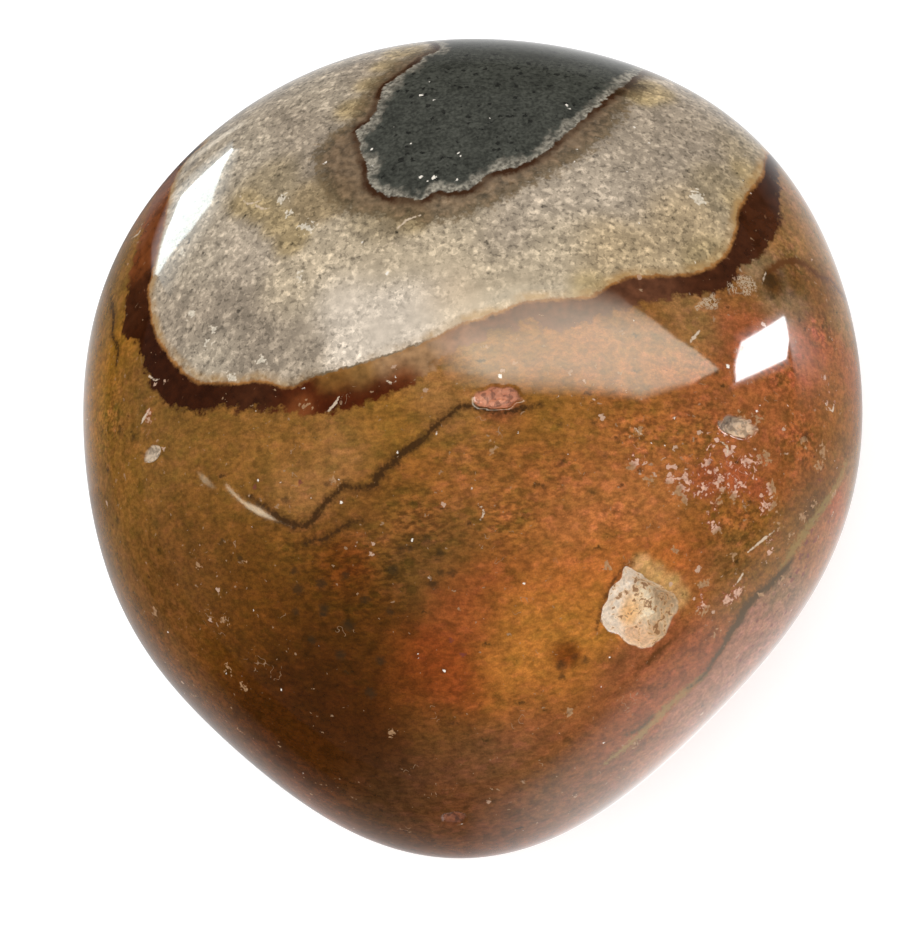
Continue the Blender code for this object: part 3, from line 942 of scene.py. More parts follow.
MOTTLE_DABS = [
    (470, 460, 2.4, 0.6), (560, 470, 2.6, 0.55), (420, 520, 2.4, 0.9), (510, 520, 2.2, 0.8),
    (640, 430, 2.4, 0.8), (700, 430, 2.4, 0.8), (740, 520, 2.4, 0.8), (800, 440, 2.0, 0.8),
    (380, 560, 2.4, 0.8), (330, 560, 2.2, 0.7), (620, 520, 2.0, 0.6), (780, 370, 2.0, 0.8),
    (290, 540, 2.0, 0.6), (700, 360, 1.6, 0.6), (790, 260, 1.6, 0.8), (110, 420, 2.4, 0.7),
    (350, 600, 2.4, 0.6), (600, 380, 1.8, 0.4), (780, 580, 1.6, 0.5), (820, 330, 1.6, 0.8),
    (740, 570, 1.8, 0.5), (560, 610, 1.6, 0.4), (600, 290, 2.0, 0.3), (720, 660, 2.4, 0.18),
    (600, 710, 2.4, 0.18), (350, 740, 4.0, 0.12), (300, 450, 2.2, 0.3), (690, 690, 2.0, 0.15),
]
GLASSY_DABS = [
    (300, 383, 0.9, 0.6), (325, 372, 1.2, 1.0), (355, 365, 1.2, 1.0), (388, 354, 1.2, 1.0),
    (415, 345, 1.0, 0.9),
]


def dab_numbers(base, dabs):
    """A trait that is base all over, and drawn towards each dab's own value near it."""
    values = np.full(len(points), float(base))
    for x, y, radius, value in dabs:
        gap = np.einsum("ij,ij->i", points - land_on_stone(x, y)[0], points - land_on_stone(x, y)[0])
        share = np.exp(-gap / radius ** 2)
        values = values * (1.0 - share) + value * share
    return values


TRAITS = {
    "sand": (1.0, SAND_DABS),
    "flecks": (0.16, FLECK_DABS),
    "flakes": (0.0, FLAKE_DABS),
    "mottle": (0.32, MOTTLE_DABS),
    "glassy": (0.0, GLASSY_DABS),
}
for name, (base, dabs) in TRAITS.items():
    keep_numbers(name, dab_numbers(base, dabs))
print("traits kept:", ", ".join(TRAITS))

# %% [markdown]
# ## Polished jasper
#
# Polished jasper is opaque quartz: a glassy surface of refractive index 1.54 over matter that hardly
# lets light in. So one Principled shader with a very low roughness carries it, and all the richness is
# in its colour. The pattern nodes read the stone's own coordinates, in millimetres, so that a grain
# written as 0.4 is 0.4 mm across. The little workshop below keeps each recipe short.

# %% A workshop for pattern nodes
BEDDING_TURN = -16.0
GREY_FADE = (-0.14, 0.16)


class Workshop:
    """Adds nodes to one material and gives back the sockets that carry their results."""

    def __init__(self, name):
        self.material = bpy.data.materials.new(name)
        self.material.use_nodes = True
        self.tree = self.material.node_tree
        self.shader = self.tree.nodes["Principled BSDF"]
        coordinates = self.tree.nodes.new("ShaderNodeTexCoord").outputs["Object"]
        self.place = self.vector_maths("SCALE", coordinates, scale=1.0 / MM)

    def plug(self, socket, value):
        """Link a socket, or set a plain number, colour or vector on it."""
        if isinstance(value, bpy.types.NodeSocket):
            self.tree.links.new(value, socket)
        elif isinstance(value, tuple) and len(value) == 3 and socket.type == "RGBA":
            socket.default_value = (*value, 1.0)
        else:
            socket.default_value = value

    def vector_maths(self, operation, first, second=None, scale=None):
        """One step of vector arithmetic."""
        node = self.tree.nodes.new("ShaderNodeVectorMath")
        node.operation = operation
        self.plug(node.inputs[0], first)
        if second is not None:
            self.plug(node.inputs[1], second)
        if scale is not None:
            self.plug(node.inputs["Scale"], scale)
        return node.outputs["Vector"]

    def maths(self, operation, first, second=0.0):
        """One step of arithmetic."""
        node = self.tree.nodes.new("ShaderNodeMath")
        node.operation = operation
        self.plug(node.inputs[0], first)
        self.plug(node.inputs[1], second)
        return node.outputs["Value"]

    def minus(self, first, second):
        """The first number less the second."""
        return self.maths("SUBTRACT", first, second)

    def larger(self, first, second):
        """The larger of two numbers."""
        return self.maths("MAXIMUM", first, second)

    def size_of(self, value):
        """A number without its sign."""
        return self.maths("ABSOLUTE", value)

    def product(self, first, *others):
        """All the numbers multiplied together."""
        for other in others:
            first = self.maths("MULTIPLY", first, other)
        return first

    def around_one(self, value, amount):
        """A factor that strays from 1 by so many times a number round 0."""
        return self.maths("ADD", 1.0, self.product(value, amount))

    def number(self, name):
        """A number that is stored on the stone's points."""
        node = self.tree.nodes.new("ShaderNodeAttribute")
        node.attribute_name = name
        return node.outputs["Fac"]

    def tint(self, name):
        """A colour that is stored on the stone's points."""
        node = self.tree.nodes.new("ShaderNodeAttribute")
        node.attribute_name = name
        return node.outputs["Color"]

    def stretched(self, turn, stretch):
        """The place turned about Z by some degrees, then squeezed so that patterns draw out along X."""
        node = self.tree.nodes.new("ShaderNodeMapping")
        self.plug(node.inputs["Vector"], self.place)
        node.inputs["Rotation"].default_value = (0.0, 0.0, math.radians(turn))
        node.inputs["Scale"].default_value = (1.0 / stretch, 1.0, 1.0)
        return node.outputs["Vector"]

    def noise(self, size, detail=2.0, vector=None, colour=False, curl=0.0):
        """Cloudy noise whose clouds are about size millimetres across, from 0 to 1."""
        node = self.tree.nodes.new("ShaderNodeTexNoise")
        self.plug(node.inputs["Vector"], vector or self.place)
        node.inputs["Scale"].default_value = 1.0 / size
        node.inputs["Detail"].default_value = detail
        node.inputs["Distortion"].default_value = curl
        return node.outputs["Color" if colour else "Fac"]

    def push(self, size, amount):
        """A small random shift that changes every size millimetres or so."""
        push = self.vector_maths("SUBTRACT", self.noise(size, detail=1.0, colour=True), (0.5, 0.5, 0.5))
        return self.vector_maths("SCALE", push, scale=amount)

    def cells(self, size, vector):
        """Grains about size millimetres apart: distance to the nearest, and three random numbers for it."""
        node = self.tree.nodes.new("ShaderNodeTexVoronoi")
        self.plug(node.inputs["Vector"], vector)
        node.inputs["Scale"].default_value = 1.0 / size
        split = self.tree.nodes.new("ShaderNodeSeparateColor")
        self.tree.links.new(node.outputs["Color"], split.inputs["Color"])
        return node.outputs["Distance"], list(split.outputs)

    def fade(self, value, low, high, start=0.0, end=1.0):
        """A smooth change from start, where the value is low, to end, where it is high."""
        node = self.tree.nodes.new("ShaderNodeMapRange")
        node.interpolation_type = "SMOOTHSTEP"
        self.plug(node.inputs["Value"], value)
        for name, number in (("From Min", low), ("From Max", high), ("To Min", start), ("To Max", end)):
            self.plug(node.inputs[name], number)
        return node.outputs["Result"]

    def blend(self, share, first, second, mode="MIX"):
        """One colour laid over another by a share from 0 to 1."""
        node = self.tree.nodes.new("ShaderNodeMix")
        node.data_type = "RGBA"
        node.blend_type = mode
        self.plug(node.inputs["Factor"], share)
        self.plug(node.inputs[6], first)
        self.plug(node.inputs[7], second)
        return node.outputs[2]

    def between(self, share, first, second):
        """A number part of the way from first to second."""
        node = self.tree.nodes.new("ShaderNodeMix")
        node.data_type = "FLOAT"
        self.plug(node.inputs[0], share)
        self.plug(node.inputs[2], first)
        self.plug(node.inputs[3], second)
        return node.outputs[0]

    def shaded(self, colour, factor):
        """A colour made darker or lighter by a number."""
        return self.vector_maths("SCALE", colour, scale=factor)


class JasperWorkshop(Workshop):
    """The patterns and masks that several zones share, so that each is worked out once."""

    def __init__(self, name):
        super().__init__(name)
        self.clouds = self.noise(2.4, detail=3.0)
        self.wander = self.minus(self.noise(0.8, detail=4.0), 0.5)
        self.fine = self.minus(self.noise(0.25, detail=3.0), 0.5)
        self.grain = self.noise(0.13, detail=2.0)
        self.curls = self.noise(0.50, detail=3.0, curl=0.35)
        self.pepper = self.noise(0.36, detail=2.0)
        self.stains = self.noise(1.3, detail=4.0, curl=0.5)
        push = self.push(0.35, 0.5)
        stirred = self.vector_maths("ADD", self.place, push)
        self.speck_gap, self.speck_chance = self.cells(0.68, stirred)
        self.bedding = self.stretched(BEDDING_TURN, 2.0)
        self.lens_gap, self.lens_chance = self.cells(0.70, self.vector_maths("ADD", self.bedding, push))
        self.flecks = self.number("flecks")
        self.glassy = self.number("glassy")
        self.grey_edge = self.edge("grey_edge", 0.5, 0.3)
        self.in_grey = self.fade(self.grey_edge, *GREY_FADE)
        self.on_brown = self.minus(1.0, self.in_grey)

    def edge(self, name, drift, fine_drift):
        """A stored distance, roughened so that the border wanders on two scales."""
        rough = self.maths("ADD", self.product(self.wander, drift), self.product(self.fine, fine_drift))
        return self.maths("ADD", self.number(name), rough)

# %% [markdown]
# ### The brown ground
#
# The body of the stone is mottled on every scale: clouds of olive and brick a few millimetres wide,
# darker and lighter stains, fine streaks that follow the old bedding, lenses the size of a grain, and
# dots of dark iron. Each is one noise or one set of cells, and each only tips the dabbed tint a little.

# %% The brown ground
OLIVE_PUSH = (0.72, 0.83, 0.68)
BRICK_PUSH = (1.24, 1.07, 1.20)
STAIN_DARK = (0.82, 0.83, 0.78)
STAIN_LIGHT = (1.13, 1.12, 1.08)
LENS_OLIVE = (0.68, 0.86, 0.74)
LENS_ROSE = (1.38, 1.26, 1.75)
NO_PUSH = (1.0, 1.0, 1.0)
PLAIN_PUSH = (0.97, 0.95, 0.93)
DARK_DOT = (0.036, 0.018, 0.006)
BLOTCH_SIZE = 0.95
STREAK_SIZE = 0.30
STREAK_DEPTH = 0.48


def brown_ground(shop):
    """The colour of the stone's body."""
    trait = shop.number("mottle")
    blotches = shop.fade(shop.noise(BLOTCH_SIZE, detail=4.0, vector=shop.bedding), 0.36, 0.64)
    clouds = shop.fade(shop.clouds, 0.34, 0.66)
    pushed = shop.blend(shop.between(0.72, clouds, blotches), OLIVE_PUSH, BRICK_PUSH)
    pushed = shop.blend(trait, PLAIN_PUSH, pushed)
    colour = shop.blend(1.0, shop.tint("body_tint"), pushed, mode="MULTIPLY")
    stained = shop.blend(shop.fade(shop.stains, 0.34, 0.66), STAIN_DARK, STAIN_LIGHT)
    colour = shop.blend(1.0, colour, stained, mode="MULTIPLY")
    lens_push = shop.blend(shop.fade(shop.lens_chance[0], 0.50, 0.56), LENS_OLIVE, LENS_ROSE)
    lens = shop.product(shop.fade(shop.lens_gap, 0.22, 0.62, 1.0, 0.0), trait)
    colour = shop.blend(1.0, colour, shop.blend(lens, NO_PUSH, lens_push), mode="MULTIPLY")
    streaks = shop.noise(STREAK_SIZE, detail=2.0, vector=shop.bedding)
    streaks = shop.fade(streaks, 0.34, 0.66, -STREAK_DEPTH, STREAK_DEPTH)
    shade = shop.around_one(streaks, trait)
    shade = shop.product(shade, shop.fade(shop.curls, 0.34, 0.52, 0.84, 1.03))
    shade = shop.product(shade, shop.fade(shop.grain, 0.25, 0.75, 0.86, 1.14))
    colour = shop.shaded(colour, shade)
    size = shop.fade(shop.lens_chance[1], shop.between(trait, 0.98, 0.78), 1.0, 0.0, 0.26)
    dots = shop.fade(shop.minus(shop.lens_gap, size), -0.14, 0.08, 0.70, 0.0)
    return shop.blend(dots, colour, DARK_DOT)

# %% [markdown]
# ### The sandy grey zone
#
# The grey zone is fine sand held in clear quartz: curled pale grains, dark grains like pepper between
# them, and here and there a bright crumb or a pinhole. Where the quartz is milky the sand fades from
# sight.

# %% The sandy grey zone
RUSTY_LINE = (0.360, 0.160, 0.045)
RUSTY_SOAK = (0.430, 0.245, 0.085)
GLASSY_LINE = (0.110, 0.080, 0.040)

# Where each line begins and ends, in millimetres inside the zone's border
RUST_LINE_FADE = (-0.42, -0.10)
SOAK_FADE = (0.0, 0.95)
GLASSY_LINE_FADE = (0.03, 0.14)


def sandy_grey(shop):
    """The colour of the grey zone."""
    light = shop.fade(shop.curls, 0.50, 0.64, 1.0, 1.46)
    dark = shop.fade(shop.pepper, 0.33, 0.47, 0.60, 1.0)
    coarse = shop.fade(shop.stains, 0.34, 0.66, 0.80, 1.20)
    shade = shop.product(light, dark, coarse, shop.fade(shop.grain, 0.3, 0.7, 0.92, 1.08))
    crumb = shop.fade(shop.speck_gap, 0.20, 0.44, 0.48, 0.0)
    crumb = shop.product(crumb, shop.fade(shop.speck_chance[0], 0.52, 0.56))
    hole = shop.fade(shop.speck_gap, 0.14, 0.38, 0.45, 0.0)
    hole = shop.product(hole, shop.fade(shop.speck_chance[1], 0.76, 0.82))
    shade = shop.minus(shop.maths("ADD", shade, crumb), hole)
    shade = shop.between(shop.number("sand"), 1.0, shade)
    clouds = shop.around_one(shop.wander, 0.5)
    return shop.shaded(shop.tint("grey_tint"), shop.product(shade, clouds))


def lay_grey_zone(shop, colour):
    """The grey zone, the thin rusty line round it, and the rust that has soaked into its border.

    Where the band is glassy there is no rust, and a thin dark line parts the two.
    """
    plain = shop.minus(1.0, shop.glassy)
    stained = shop.fade(shop.stains, 0.35, 0.6, 0.45, 1.0)
    rusty = shop.product(shop.fade(shop.grey_edge, *RUST_LINE_FADE), stained)
    colour = shop.blend(shop.product(rusty, plain), colour, RUSTY_LINE)
    colour = shop.blend(shop.in_grey, colour, sandy_grey(shop))
    patchy = shop.fade(shop.clouds, 0.42, 0.60, 0.35, 1.0)
    soaked = shop.product(shop.fade(shop.grey_edge, *SOAK_FADE, 0.85, 0.0), patchy)
    colour = shop.blend(shop.product(soaked, shop.in_grey, plain), colour, RUSTY_SOAK)
    thin_line = shop.fade(shop.size_of(shop.grey_edge), *GLASSY_LINE_FADE, 0.8, 0.0)
    return shop.blend(shop.product(thin_line, shop.glassy), colour, GLASSY_LINE)

# %% [markdown]
# ### The band, the halo and the core
#
# A dark band of iron walls the grey zone in, with a thin rusty line on its inner side. The core is a
# dull green-grey, flecked with black, and its edge is a ragged pale crust as wide as a grain or three.
# A brown halo lies round the core: darkest in a thin line along the crust, rosier towards the core and
# fading outwards among the sand grains.

# %% The band, the halo and the core
BAND_SPECK = (0.240, 0.120, 0.060)
CORE_GREEN = (0.052, 0.053, 0.043)
CORE_BLACK = (0.012, 0.012, 0.010)
CORE_CRUST = (0.222, 0.200, 0.158)
HALO_BROWN = (0.120, 0.082, 0.042)
HALO_ROSE = (0.172, 0.108, 0.060)
HALO_LINE = (0.046, 0.018, 0.007)

# Where each border begins and ends, in millimetres inside it
BAND_FADE = (-0.30, 0.24)
HALO_FADE = (-0.45, 0.70)
ROSE_FADE = (0.5, 1.7)
HALO_LINE_FADE = (-0.85, -0.22)
CRUST_FADE = (-0.06, 0.12)
CORE_FADE = (-0.42, 0.46)


def brown_band(shop):
    """The colour of the band."""
    colour = shop.shaded(shop.tint("band_tint"), shop.around_one(shop.wander, 1.7))
    chosen = shop.fade(shop.speck_chance[2], 0.86, 0.94, 0.0, 0.5)
    specks = shop.product(shop.fade(shop.speck_gap, 0.08, 0.20, 1.0, 0.0), chosen)
    return shop.blend(specks, colour, BAND_SPECK)


def green_core(shop):
    """The colour of the core, without its crust."""
    clouds = shop.fade(shop.clouds, 0.3, 0.7, 0.88, 1.18)
    colour = shop.shaded(CORE_GREEN, shop.product(clouds, shop.around_one(shop.fine, 1.5)))
    size = shop.fade(shop.speck_chance[1], 0.35, 1.0, 0.06, 0.40)
    dots = shop.fade(shop.minus(shop.speck_gap, size), -0.14, 0.07, 0.80, 0.0)
    return shop.blend(dots, shop.shaded(colour, shop.fade(shop.curls, 0.36, 0.62, 0.82, 1.18)), CORE_BLACK)


def lay_halo(shop, colour):
    """The brown halo round the core, mottled by the sand that it stains."""
    curled = shop.product(shop.minus(shop.curls, 0.5), 1.6)
    inside = shop.maths("ADD", shop.edge("halo_edge", 2.6, 1.4), curled)
    halo = shop.product(shop.fade(inside, *HALO_FADE, 0.0, 0.86), shop.in_grey)
    tone = shop.blend(shop.fade(inside, *ROSE_FADE, 0.0, 0.80), HALO_BROWN, HALO_ROSE)
    sand = shop.fade(shop.curls, 0.36, 0.64, 0.80, 1.20)
    shade = shop.maths("ADD", sand, shop.product(shop.wander, 2.2))
    return shop.blend(halo, colour, shop.shaded(tone, shade))


def lay_core(shop, colour):
    """The core, inside its ragged crust, inside a thin dark line."""
    core_edge = shop.edge("core_edge", 0.9, 0.35)
    line = shop.product(shop.fade(core_edge, *HALO_LINE_FADE), shop.fade(shop.clouds, 0.42, 0.58, 0.65, 1.0))
    colour = shop.blend(line, colour, HALO_LINE)
    grainy = shop.product(shop.around_one(shop.fine, 2.4), shop.fade(shop.curls, 0.36, 0.62, 0.70, 1.35))
    colour = shop.blend(shop.fade(core_edge, *CRUST_FADE), colour, shop.shaded(CORE_CRUST, grainy))
    crust_width = shop.fade(shop.clouds, 0.35, 0.65, 0.42, 1.05)
    within_crust = shop.minus(shop.edge("core_edge", 2.2, 1.2), crust_width)
    return shop.blend(shop.fade(within_crust, *CORE_FADE), colour, green_core(shop))

# %% [markdown]
# ### Veins
#
# The veins are cracks that iron has healed. The dark ones and the short slits are sharp in the middle
# with a soft shade beside them, the olive one is broader, and its ends fade to a faint golden line.

# %% Veins
VEIN_TONES = {
    "dark_vein": (0.046, 0.020, 0.006),
    "slit": (0.110, 0.038, 0.010),
    "olive_vein": (0.088, 0.050, 0.018),
}
VEIN_FAINT = (0.290, 0.195, 0.060)
VEIN_FADE = (-0.16, 0.16)
VEIN_SHADE_FADE = (0.0, 0.50)
FAINT_FADE = (-0.24, 0.32)


def lay_veins(shop, colour):
    """Every vein, from the faintest to the darkest."""
    faint = shop.fade(shop.edge("faint_vein", 0.9, 1.4), *FAINT_FADE, 0.64, 0.0)
    colour = shop.blend(faint, colour, VEIN_FAINT)
    for name, tone in VEIN_TONES.items():
        gap = shop.edge(name, 0.45, 0.75)
        colour = shop.blend(shop.fade(gap, *VEIN_SHADE_FADE, 0.42, 0.0), colour, tone)
        colour = shop.blend(shop.fade(gap, *VEIN_FADE, 0.90, 0.0), colour, tone)
    return colour

# %% [markdown]
# ### Flecks
#
# Pale crumbs and short threads lie in clusters just under the polish. Where they are thick they are
# bright and pinkish and lie in red beds, and where they are sparse they are dull. The larger crumbs are
# the peaks of a curled noise, and the small round ones are cells chosen by chance. By the band's right
# end cream flakes crust the stone. Glints are the smallest marks: painted highlights, pinpricks of near
# white where a crystal face would catch the light. They show more where the flecks lie thick.

# %% Flecks
FLECK_DULL = (0.330, 0.200, 0.110)
FLECK_PALE = (0.560, 0.275, 0.180)
FLECK_BRIGHT = (0.760, 0.510, 0.380)
FLECK_BED = (0.270, 0.066, 0.030)
FLAKE_CREAM = (0.520, 0.400, 0.270)
# The near-white of the painted glints.
GLINT = (0.900, 0.830, 0.720)
CLUSTER = (0.42, 0.80)


def crumb_depth(shop):
    """How far inside a pale crumb each place lies: above 0 within it."""
    return shop.minus(shop.curls, shop.between(shop.flecks, 0.735, 0.605))


def small_crumbs(shop):
    """Where small round crumbs lie, from 0 to 1."""
    wanted = shop.between(shop.flecks, 1.06, 0.62)
    chosen = shop.fade(shop.minus(shop.speck_chance[1], wanted), 0.0, 0.01)
    rough_gap = shop.maths("ADD", shop.speck_gap, shop.product(shop.fine, 0.8))
    return shop.product(shop.fade(rough_gap, 0.25, 0.36, 0.85, 0.0), chosen)


def threads(shop):
    """Where short pale threads lie, from 0 to 1."""
    ridge = shop.size_of(shop.minus(shop.noise(0.85, detail=1.0), 0.5))
    thin = shop.fade(ridge, 0.004, 0.018, 1.0, 0.0)
    wanted = shop.between(shop.flecks, 0.68, 0.57)
    patches = shop.fade(shop.minus(shop.clouds, wanted), -0.01, 0.01)
    ends = shop.fade(shop.lens_chance[2], 0.45, 0.50)
    return shop.product(thin, ends, patches)


def flakes(shop):
    """Where crusty cream flakes lie, from 0 to 1."""
    needles = shop.fade(shop.size_of(shop.fine), 0.02, 0.08, 0.9, 0.0)
    needles = shop.larger(needles, shop.fade(shop.pepper, 0.50, 0.60, 0.0, 0.8))
    reach = shop.product(shop.number("flakes"), shop.around_one(shop.wander, 3.0))
    return shop.product(needles, shop.fade(reach, 0.35, 0.60))


def glints(shop):
    """Where painted pinpoint highlights lie, from 0 to 1."""
    wanted = shop.between(shop.flecks, 0.985, 0.93)
    chosen = shop.fade(shop.minus(shop.speck_chance[2], wanted), 0.0, 0.01)
    return shop.product(shop.fade(shop.speck_gap, 0.05, 0.13, 0.85, 0.0), chosen)


def lay_flecks(shop, colour):
    """Crumbs in their red beds, threads, flakes and painted glints. Gives the colour, and where the crumbs
    are.
    """
    crumb = crumb_depth(shop)
    small = small_crumbs(shop)
    specks = shop.larger(shop.fade(crumb, -0.015, 0.015, 0.0, 0.80), shop.product(threads(shop), 0.8))
    specks = shop.product(shop.larger(specks, small), shop.on_brown)
    bed = shop.product(shop.fade(crumb, -0.10, -0.01, 0.0, 0.60), shop.fade(shop.flecks, 0.35, 0.95))
    colour = shop.blend(shop.product(bed, shop.on_brown), colour, FLECK_BED)
    in_cluster = shop.fade(shop.flecks, *CLUSTER)
    bright = shop.product(shop.fade(crumb, 0.0, 0.05), in_cluster)
    bright = shop.larger(bright, shop.product(small, 0.6))
    tone = shop.blend(bright, shop.blend(in_cluster, FLECK_DULL, FLECK_PALE), FLECK_BRIGHT)
    colour = shop.blend(specks, colour, tone)
    colour = shop.blend(shop.product(flakes(shop), 0.85), colour, FLAKE_CREAM)
    return shop.blend(glints(shop), colour, GLINT), specks

# %% [markdown]
# ### Single spots
#
# The grains, pinholes, threads and painted glints that were listed one by one come next, each with an
# edge roughened by a tenth of a millimetre or two. On the brown a pale spot lies in a red bed, as the
# crumbs do, and in the grey zone it is sand.

# %% Single spots
SPOT_DULL = (0.350, 0.200, 0.100)
SPOT_PALE = (0.620, 0.375, 0.265)
SPOT_SAND = (0.640, 0.560, 0.440)
SPOT_DARK = (0.034, 0.020, 0.008)
SPOT_RED = (0.170, 0.045, 0.035)
THREAD_PALE = (0.640, 0.500, 0.360)

# For each kind: how it wanders, where its edge begins and ends, how it covers there, and its colour
SMALL_MARKS = {
    "pale_thread": (0.2, 0.3, -0.03, 0.05, 0.9, 0.0, THREAD_PALE),
    # Painted highlights: the listed glints.
    "glint": (0.1, 0.5, -0.02, 0.06, 0.0, 1.0, GLINT),
    "dark_spot": (0.5, 0.7, -0.24, 0.26, 0.0, 0.64, SPOT_DARK),
    "red_spot": (0.4, 0.8, -0.06, 0.10, 0.0, 0.75, SPOT_RED),
}


def lay_spots(shop, colour):
    """Pale spots in their beds, then threads, painted glints, dark spots and red spots."""
    tone = shop.blend(shop.fade(shop.flecks, 0.42, 0.64), SPOT_DULL, SPOT_PALE)
    tone = shop.blend(shop.in_grey, tone, SPOT_SAND)
    tone = shop.shaded(tone, shop.around_one(shop.fine, 1.6))
    curled = shop.product(shop.minus(shop.curls, 0.5), 2.2)
    inside = shop.maths("ADD", shop.edge("pale_spot", 0.3, 1.0), curled)
    bed = shop.product(shop.fade(inside, -0.42, -0.04, 0.0, 0.50), shop.on_brown)
    colour = shop.blend(shop.product(bed, shop.fade(shop.flecks, 0.30, 0.60)), colour, FLECK_BED)
    colour = shop.blend(shop.fade(inside, -0.06, 0.12, 0.0, 0.85), colour, tone)
    for name, (drift, fine_drift, low, high, start, end, mark) in SMALL_MARKS.items():
        cover = shop.fade(shop.edge(name, drift, fine_drift), low, high, start, end)
        colour = shop.blend(cover, colour, mark)
    return colour

# %% [markdown]
# ### The pocket and the pits
#
# The polish never reached into the hollows, so they are rough. The pocket is lined with a cream crust
# that is stained orange and brown in its creases. Its dabbed tint also carries painted light and
# shade: paler where the wall catches the light, darker on the shaded upper right wall. The pits show
# pale broken grains, and the crescent pit has a painted lit lower lip and a painted shadow above it.

# %% The pocket and the pits
CRUST_ORANGE = (0.700, 0.430, 0.200)
CRUST_BROWN = (0.260, 0.120, 0.045)
POCKET_FADE = (-0.02, 0.10)
PIT_FADE = (-0.02, 0.14)
PIT_COVER = 0.85
PIT_ROUGH_SHARE = 0.6


def pocket_crust(shop):
    """The colour of the pocket's lining, with the painted light and shade that its tint carries on the
    walls.
    """
    grainy = shop.product(shop.around_one(shop.fine, 0.9), shop.fade(shop.curls, 0.36, 0.6, 0.88, 1.08))
    colour = shop.shaded(shop.tint("crust_tint"), grainy)
    crease = shop.maths("ADD", shop.curls, shop.product(shop.clouds, 0.35))
    colour = shop.blend(shop.fade(crease, 0.69, 0.78, 0.0, 0.7), colour, CRUST_ORANGE)
    return shop.blend(shop.fade(crease, 0.765, 0.810, 0.0, 0.80), colour, CRUST_BROWN)


def line_hollows(shop, colour):
    """The pocket's crust and the pits' broken floors. Gives the colour, and where the polish is missing."""
    in_pocket = shop.fade(shop.number("pocket_edge"), *POCKET_FADE)
    colour = shop.blend(in_pocket, colour, pocket_crust(shop))
    in_pit = shop.fade(shop.number("pit_edge"), *PIT_FADE)
    pit_tone = shop.shaded(shop.tint("crust_tint"), shop.fade(shop.curls, 0.40, 0.58, 0.55, 1.15))
    colour = shop.blend(shop.product(in_pit, PIT_COVER), colour, pit_tone)
    return colour, shop.larger(in_pocket, shop.product(in_pit, PIT_ROUGH_SHARE))

# %% [markdown]
# ### Laying the zones over each other
#
# The layers go on from the bottom up: body, band, grey sand, halo, core, veins, flecks, spots, hollows.
# Each has a mask that is read from its stored distance with a little noise added, which makes the
# border wander by a tenth of a millimetre or so, as it does in the stone.

# %% Mix the polished jasper
POLISH_ROUGHNESS = 0.055
FLECK_ROUGHNESS = 0.20
HOLLOW_ROUGHNESS = 0.70
QUARTZ_INDEX = 1.54


def jasper_finish():
    """The material of the whole stone."""
    shop = JasperWorkshop("polished_jasper")
    in_band = shop.fade(shop.edge("band_edge", 2.0, 0.7), *BAND_FADE)
    colour = shop.blend(in_band, brown_ground(shop), brown_band(shop))
    for lay in (lay_grey_zone, lay_halo, lay_core, lay_veins):
        colour = lay(shop, colour)
    colour, specks = lay_flecks(shop, colour)
    colour = lay_spots(shop, colour)
    colour, hollow = line_hollows(shop, colour)

    roughness = shop.between(specks, POLISH_ROUGHNESS, FLECK_ROUGHNESS)
    roughness = shop.between(hollow, roughness, HOLLOW_ROUGHNESS)
    shop.plug(shop.shader.inputs["Base Color"], colour)
    shop.plug(shop.shader.inputs["Roughness"], roughness)
    shop.shader.inputs["IOR"].default_value = QUARTZ_INDEX
    shop.shader.inputs["Metallic"].default_value = 0.0
    return shop.material


stone.data.materials.clear()
stone.data.materials.append(jasper_finish())
bpy.ops.object.select_all(action="DESELECT")
stone.select_set(True)
bpy.context.view_layer.objects.active = stone
bpy.ops.object.shade_smooth()
print("pattern nodes:", len(stone.data.materials[0].node_tree.nodes))

# %% [markdown]
# ## Joining the stone to its model
#
# The finished stone rides on the model's only body and stands for its only solid.

# %% Join the stone to its model
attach(stone, "root")
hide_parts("stone")
print("the stone rides on root and stands for the solid called stone")

# %% [markdown]
# ## The studio
#
# A polished stone shows its surroundings as much as its own colour. The lamps are placed by looking
# in the mirror: a sight line is bounced off the stone where a highlight should be, and the lamp's
# corner goes where the bounced line leads. Only the mirror sees them, so they can stand close by
# without a shadow. There are two windows with a haze round each, a thin line of light, the lit edge of
# a table and a pale wall that fades at its sides.

# %% Hang the lamps
LAMP_REACH = 420.0
LAMP_NEAR = 60.0
LAMP_CLOSE = 25.0
LAMP_GAP = 2.0
WINDOW_LEFT = [
    [(232, 148), (213, 164), (195, 182), (181, 197), (171, 219), (162, 242), (156, 274)],
    [(233, 149), (225, 166), (219, 183), (211, 204), (192, 229), (174, 250), (158, 274)],
]
HAZE_LEFT = [
    [(234, 138), (208, 156), (188, 175), (172, 193), (161, 215), (153, 238), (151, 276)],
    [(232, 148), (213, 164), (195, 182), (181, 197), (171, 219), (162, 242), (156, 274)],
    [(233, 149), (225, 166), (219, 183), (211, 204), (192, 229), (174, 250), (158, 274)],
    [(243, 148), (236, 170), (230, 190), (221, 212), (204, 240), (187, 270), (170, 302)],
]
LINE_LEFT = [
    [(252, 116), (240, 123), (228, 131), (208, 145), (190, 159), (178, 170)],
    [(254, 118), (242, 126), (230, 134), (210, 148), (193, 162), (180, 173)],
]
WINDOW_RIGHT = [[(740, 341), (788, 312)], [(737, 361), (788, 335)], [(734, 380), (787, 357)]]
HAZE_RIGHT = [
    [(730, 334), (795, 300)],
    [(740, 341), (788, 312)],
    [(734, 380), (787, 357)],
    [(724, 390), (797, 366)],
]
EDGE_LIGHT = [
    [(224, 487), (240, 500), (257, 511), (275, 520), (295, 528)],
    [(225, 485), (241, 498), (258, 509), (276, 518.6), (295, 527.4)],
]
FAINT_EDGE_LIGHT = [[(195, 470), (204, 480), (213, 490)], [(196, 469), (205, 479), (215, 489)]]
